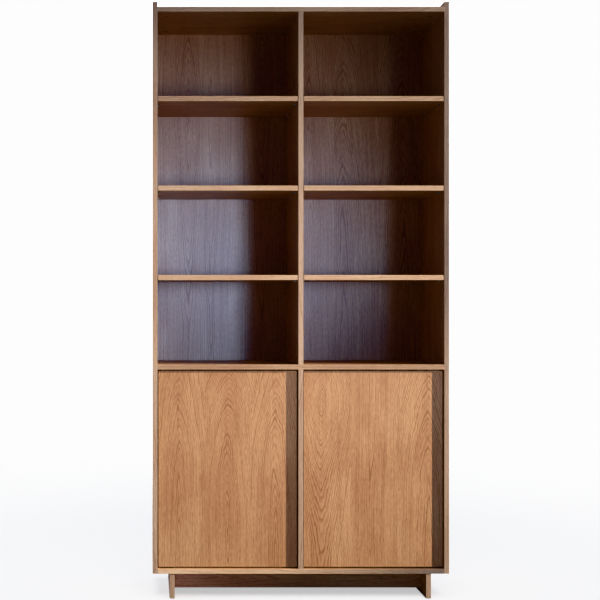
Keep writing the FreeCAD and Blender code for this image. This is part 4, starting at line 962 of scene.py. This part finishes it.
class BOOKCASE_OT_screws(bpy.types.Operator):
    """Plated screws with a pressed cross in each head"""

    bl_idname = "bookcase.screws"
    bl_label = "Screws"

    def execute(self, context):
        metal = fitting_material("screw_plate")
        steps = 2 * context.scene.bookcase_fittings.steps
        pan, small, large = (3.5 * MM, 1.75 * MM), (2.8 * MM, 1.5 * MM), (4.5 * MM, 2.5 * MM)
        strike = (2.7 * MM, 1.5 * MM)
        rows = (
            # node, body, head and shank radius, length, rise, ways from head to point
            ("back_screws", CASE, pan, 18 * MM, 2 * MM, ("-Y",)),
            ("bracket_screws", CASE, pan, 14 * MM, 2 * MM, ("-Z",)),
            ("base_panel_screws", CASE, large, 50 * MM, 0.0, ("-Z",)),
            ("divider_screws", CASE, large, 50 * MM, 0.0, ("-Z", "+Z")),
            ("base_frame_screws", CASE, large, 50 * MM, 0.0, ("-X", "+X")),
            ("latch_screws", CASE, small, 10 * MM, 0.0, ("-X", "+X")),
            ("pivot_screws_carcass", CASE, small, 14 * MM, 0.0, ("-Z", "+Z")),
            ("pivot_screws_door_left", "door_left", small, 14 * MM, 0.0, ("-Z", "+Z")),
            ("pivot_screws_door_right", "door_right", small, 14 * MM, 0.0, ("-Z", "+Z")),
            ("strike_screw_left", "door_left", strike, 10 * MM, 0.0, ("-Y",)),
            ("strike_screw_right", "door_right", strike, 10 * MM, 0.0, ("-Y",)),
        )
        for node, body, (head, shank), reach, rise, ways in rows:
            grids = []
            for way in ways:
                sign = 1.0 if way[0] == "+" else -1.0
                axis = np.array([sign * (letter == way[1]) for letter in "XYZ"])
                grid = screw_grid(-axis, head, shank, reach, rise, steps)
                grids += at_spots(grid, screw_tips(node, axis, shank) - reach * axis)
            name = node.replace("screw", "plated_screw")
            new_piece(name, grids, body, metal, node)
        return {"FINISHED"}


def screw_tips(node, axis, shank):
    """Points of a node's screws that point along an axis.

    A point is a tip if the vertices one point's length behind it form a ring of the shank's radius.
    """
    near, least = 0.02 * MM, 6
    points = np.unique(np.round(vertices_of(node), 6), axis=0)
    level = points @ axis
    flat = points[:, np.abs(axis) < 0.5]
    behind = np.abs(level[:, None] - SCREW_POINT - level[None, :]) < near
    radius = np.hypot(*(flat[:, None] - flat[None, :]).transpose(2, 0, 1))
    ring = behind & (np.abs(radius - shank) < near)
    tips = points[ring.sum(axis=1) >= least]
    if not len(tips):
        raise RuntimeError(f"no screws found in {node}")
    return tips


class BOOKCASE_OT_metalwork(bpy.types.Operator):
    """Finishes of the hinge plates, pins, washers, strikes, brackets and springs"""

    bl_idname = "bookcase.metalwork"
    bl_label = "Metalwork"

    def execute(self, context):
        finish_fittings({
            "nickel": ("pivot_pins", "pivot_washers"),
            "steel_plate": ("anti_tip_brackets", "strike_plate_left", "strike_plate_right"),
            "bronzed_plate": ("pivot_plates_carcass", "pivot_plates_door_left", "pivot_plates_door_right"),
            "spring_wire": ("latch_spring_left", "latch_spring_right"),
            "cast_zinc": ("cam_locks",),
            "screw_plate": ("cam_bolts",),
        })
        return {"FINISHED"}


class BOOKCASE_OT_latches(bpy.types.Operator):
    """Finishes of the push-to-open latches"""

    bl_idname = "bookcase.latches"
    bl_label = "Latches"

    def execute(self, context):
        finish_fittings({
            "grey_plastic": ("latch_housing_left", "latch_housing_right"),
            "white_plastic": ("latch_plunger_left", "latch_plunger_right"),
        })
        return {"FINISHED"}


class BOOKCASE_OT_dowels(bpy.types.Operator):
    """Finish of the beech dowels"""

    bl_idname = "bookcase.dowels"
    bl_label = "Dowels"

    def execute(self, context):
        finish_fittings({"beech": ("wood_dowels", "through_dowels")})
        return {"FINISHED"}


class BOOKCASE_OT_stage(bpy.types.Operator):
    """Pale floor, studio lights and the camera"""

    bl_idname = "bookcase.stage"
    bl_label = "Stage"

    def execute(self, context):
        studio = context.scene.bookcase_studio
        floor = make_floor(studio)
        make_world(context.scene, studio)
        make_lights(studio, floor)
        make_camera(context.scene, studio)
        context.scene.view_settings.view_transform = "Khronos PBR Neutral"
        context.scene.view_settings.look = "None"
        return {"FINISHED"}


# Shares of the floor's radius between which it fades out
FLOOR_FADE = (0.25, 0.95)
# Cells per metre of the floor's tone, and how much paler it gets
FLOOR_CLOUD, FLOOR_PALER = 1.4, 1.04


def make_floor(studio):
    """Round pale floor that fades out at its rim. It throws less light back than the camera sees."""
    steps, reach = 96, studio.floor_reach
    angle = np.arange(steps) * 2 * math.pi / steps
    rim = np.stack([reach * np.cos(angle), reach * np.sin(angle), 0 * angle], axis=1)
    mesh = bpy.data.meshes.new("floor")
    mesh.from_pydata(rim.tolist(), [], [list(range(steps))])
    material = bpy.data.materials.new("pale_floor")
    wires = emptied(material)
    place = wires.node("TexCoord").outputs["Object"]
    tone = wires.noise(wires.scaled(place, FLOOR_CLOUD), 3.0)
    paler = tuple(min(1.0, value * FLOOR_PALER) for value in studio.floor)
    dim = tuple(value * studio.floor_return for value in studio.floor)
    seen = wires.node("LightPath").outputs["Is Camera Ray"]
    base = wires.blend(seen, solid(dim), wires.blend(tone, solid(studio.floor), solid(paler)))
    away = wires.vector("LENGTH", place).node.outputs["Value"]
    start, end = (part * reach for part in FLOOR_FADE)
    inputs = {
        "Base Color": base,
        "Roughness": 0.85,
        "Alpha": wires.ease(away, start, end, 1.0, 0.0),
        "Emission Color": WHITE,
        "Emission Strength": wires.math("MULTIPLY", seen, studio.floor_glow),
    }
    wires.surface(inputs)
    mesh.materials.append(material)
    floor = bpy.data.objects.new("floor", mesh)
    bpy.context.scene.collection.objects.link(floor)
    return floor


def make_world(scene, studio):
    """White to the camera, and a faint cool light to everything else."""
    world = bpy.data.worlds.new("studio")
    wires = emptied(world)
    seen = wires.node("LightPath").outputs["Is Camera Ray"]
    dome = wires.node("Background", {"Color": solid(studio.sky), "Strength": studio.sky_power})
    white = wires.node("Background", {"Color": WHITE, "Strength": studio.backdrop})
    mixed = wires.node("MixShader", {0: seen, 1: dome.outputs[0], 2: white.outputs[0]})
    wires.node("OutputWorld", {"Surface": mixed.outputs[0]})
    scene.world = world


def add_lamp(name, kind, place, target, power, rgb, **settings):
    """Lamp that looks at a target."""
    lamp = bpy.data.lights.new(name, kind)
    lamp.energy = power
    lamp.color = rgb
    for key, value in settings.items():
        setattr(lamp, key, value)
    holder = bpy.data.objects.new(name, lamp)
    holder.location = place
    holder.rotation_euler = (Vector(target) - Vector(place)).to_track_quat("-Z", "Y").to_euler()
    bpy.context.scene.collection.objects.link(holder)
    return holder


def lit_only(lamp, objects):
    """Lets a lamp light these objects and no others."""
    group = bpy.data.collections.new(f"lit_by_{lamp.name}")
    for item in objects:
        group.objects.link(item)
    lamp.light_linking.receiver_collection = group


def add_spot(name, place, radius, aim, width, power, rgb, lit, blend=1.0):
    """Round lamp that throws a pool of light on these objects and no others."""
    settings = {"shadow_soft_size": radius, "spot_size": width, "spot_blend": blend}
    lit_only(add_lamp(name, "SPOT", place, aim, power, rgb, **settings), lit)


def named(pieces, *starts):
    """Pieces whose names start with one of these."""
    return [item for item in pieces if item.name.startswith(starts)]


def make_lights(studio, floor):
    """Low key light from the right, a soft window in front, and soft lights above and behind.

    The uprights, the bottom panel, the backs, the base rail and the shelf pins have lights of their own.
    """
    pieces = [item for item in bpy.context.scene.objects if item.type == "MESH" and item is not floor]
    uprights = named(pieces, "side_panel_left", "divider_upper", "divider_lower", "base_runner_left")
    right = named(pieces, "side_panel_right", "base_runner_right")
    bottom = named(pieces, "bottom_panel")
    backs = named(pieces, "back_panel")
    rail = named(pieces, "base_rail_front")
    pins = named(pieces, "nickel_pins")
    rest = [item for item in pieces if item not in uprights + right + bottom]
    others = [item for item in pieces if item not in backs + rail]
    warm, amber, soft = (1.0, 0.79, 0.58), (1.0, 0.81, 0.56), (1.0, 0.79, 0.64)
    cool, blue, plain, rosy = (0.90, 0.92, 1.0), (0.15, 0.42, 1.0), (1.0, 0.98, 0.95), (0.95, 0.70, 0.80)
    spread = studio.key_reach * math.tan(studio.key_angle / 2)
    front, key = (studio.key_reach * Vector(way).normalized() for way in (studio.front_way, studio.key_way))
    beams = (
        # name, way from its aim, aim, width, power, colour, pieces lit
        ("key", key, studio.key_aim, studio.key_beam, studio.key_power, amber, rest),
        ("bottom_key", key, studio.bottom_aim, studio.bottom_beam, studio.bottom_power, amber, bottom),
        ("upright_key", front, studio.key_aim, studio.key_beam, studio.front_power, warm, uprights),
        ("right_low", front, studio.low_aim, studio.low_beam, studio.low_power, warm, right),
        ("right_high", front, studio.high_aim, studio.high_beam, studio.high_power, warm, right),
    )
    for name, away, aim, *rest_of_beam in beams:
        add_spot(name, Vector(aim) + away, spread, aim, *rest_of_beam)
    outer = (studio.window_place, studio.window_radius)
    inner = (studio.inner_place, studio.inner_radius)
    windows = (
        # name, place and radius, aim, width, power, colour, pieces lit
        ("window", *outer, studio.window_aim, studio.window_beam, studio.window_power, soft, others),
        ("inner_window", *inner, studio.inner_aim, studio.inner_beam, studio.inner_power, cool, backs),
        ("inner_sky", *inner, studio.blue_aim, studio.blue_beam, studio.blue_power, blue, backs),
    )
    for window in windows:
        add_spot(*window)
    small = (
        # name, place, aim, power, colour, pieces lit
        ("pin_glint", studio.glint_place, studio.window_aim, studio.glint_power, cool, pins),
        ("rail_glow", studio.rail_place, studio.rail_aim, studio.rail_power, rosy, rail),
    )
    for name, place, aim, power, rgb, lit in small:
        add_spot(name, place, studio.small_radius, aim, studio.small_beam, power, rgb, lit, blend=0.15)
    areas = (
        # name, place, target, power, width, height
        ("floor_light", (0.0, -2.6, 4.0), (0.0, -0.6, 0.0), studio.floor_power, 3.0, 3.0),
        ("ceiling", (0.0, 0.9, 4.2), (0.0, 0.9, 0.0), studio.ceiling_power, 4.0, 3.0),
        ("back_left", (-3.2, 2.2, 1.8), (0.0, 0.2, 1.0), studio.back_power, 2.2, 2.2),
        ("back_right", (3.2, 2.6, 1.8), (0.0, 0.2, 1.0), studio.back_power, 2.2, 2.2),
    )
    for name, place, aim, power, wide, high in areas:
        lamp = add_lamp(name, "AREA", place, aim, power, plain, shape="RECTANGLE", size=wide, size_y=high)
        if name == "floor_light":
            lit_only(lamp, [floor])


def make_camera(scene, studio):
    """Camera with an upright front plane; its shift frames the bookcase."""
    data = bpy.data.cameras.new("camera")
    data.sensor_width = 36.0
    data.lens = studio.lens
    data.shift_x, data.shift_y = studio.shift
    camera = bpy.data.objects.new("camera", data)
    camera.location = studio.eye
    camera.rotation_euler = (math.radians(90), 0, 0)
    scene.collection.objects.link(camera)
    scene.camera = camera


# Add-on

OPERATORS = (
    BOOKCASE_OT_case,
    BOOKCASE_OT_backs,
    BOOKCASE_OT_shelves,
    BOOKCASE_OT_doors,
    BOOKCASE_OT_base,
    BOOKCASE_OT_shelf_pins,
    BOOKCASE_OT_cam_caps,
    BOOKCASE_OT_glides,
    BOOKCASE_OT_screws,
    BOOKCASE_OT_metalwork,
    BOOKCASE_OT_latches,
    BOOKCASE_OT_dowels,
    BOOKCASE_OT_stage,
)
SETTINGS = {
    "bookcase_oak": BookcaseOak,
    "bookcase_fittings": BookcaseFittings,
    "bookcase_studio": BookcaseStudio,
}


class BOOKCASE_PT_panel(bpy.types.Panel):
    """Sizes, colours and steps of the bookcase"""

    bl_label = "Bookcase"
    bl_space_type = "VIEW_3D"
    bl_region_type = "UI"
    bl_category = "Bookcase"

    def draw(self, context):
        for key, group in SETTINGS.items():
            box = self.layout.box()
            for name in group.__annotations__:
                box.prop(getattr(context.scene, key), name)
        for operator in OPERATORS:
            self.layout.operator(operator.bl_idname)


CLASSES = (*SETTINGS.values(), *OPERATORS, BOOKCASE_PT_panel)


def register():
    for item in CLASSES:
        bpy.utils.register_class(item)
    for key, group in SETTINGS.items():
        setattr(bpy.types.Scene, key, PointerProperty(type=group))


def unregister():
    for key in SETTINGS:
        delattr(bpy.types.Scene, key)
    for item in reversed(CLASSES):
        bpy.utils.unregister_class(item)


def main():
    """Registers the add-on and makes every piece."""
    register()
    for operator in OPERATORS:
        section, name = operator.bl_idname.split(".")
        getattr(getattr(bpy.ops, section), name)()


if __name__ == "__main__":
    main()
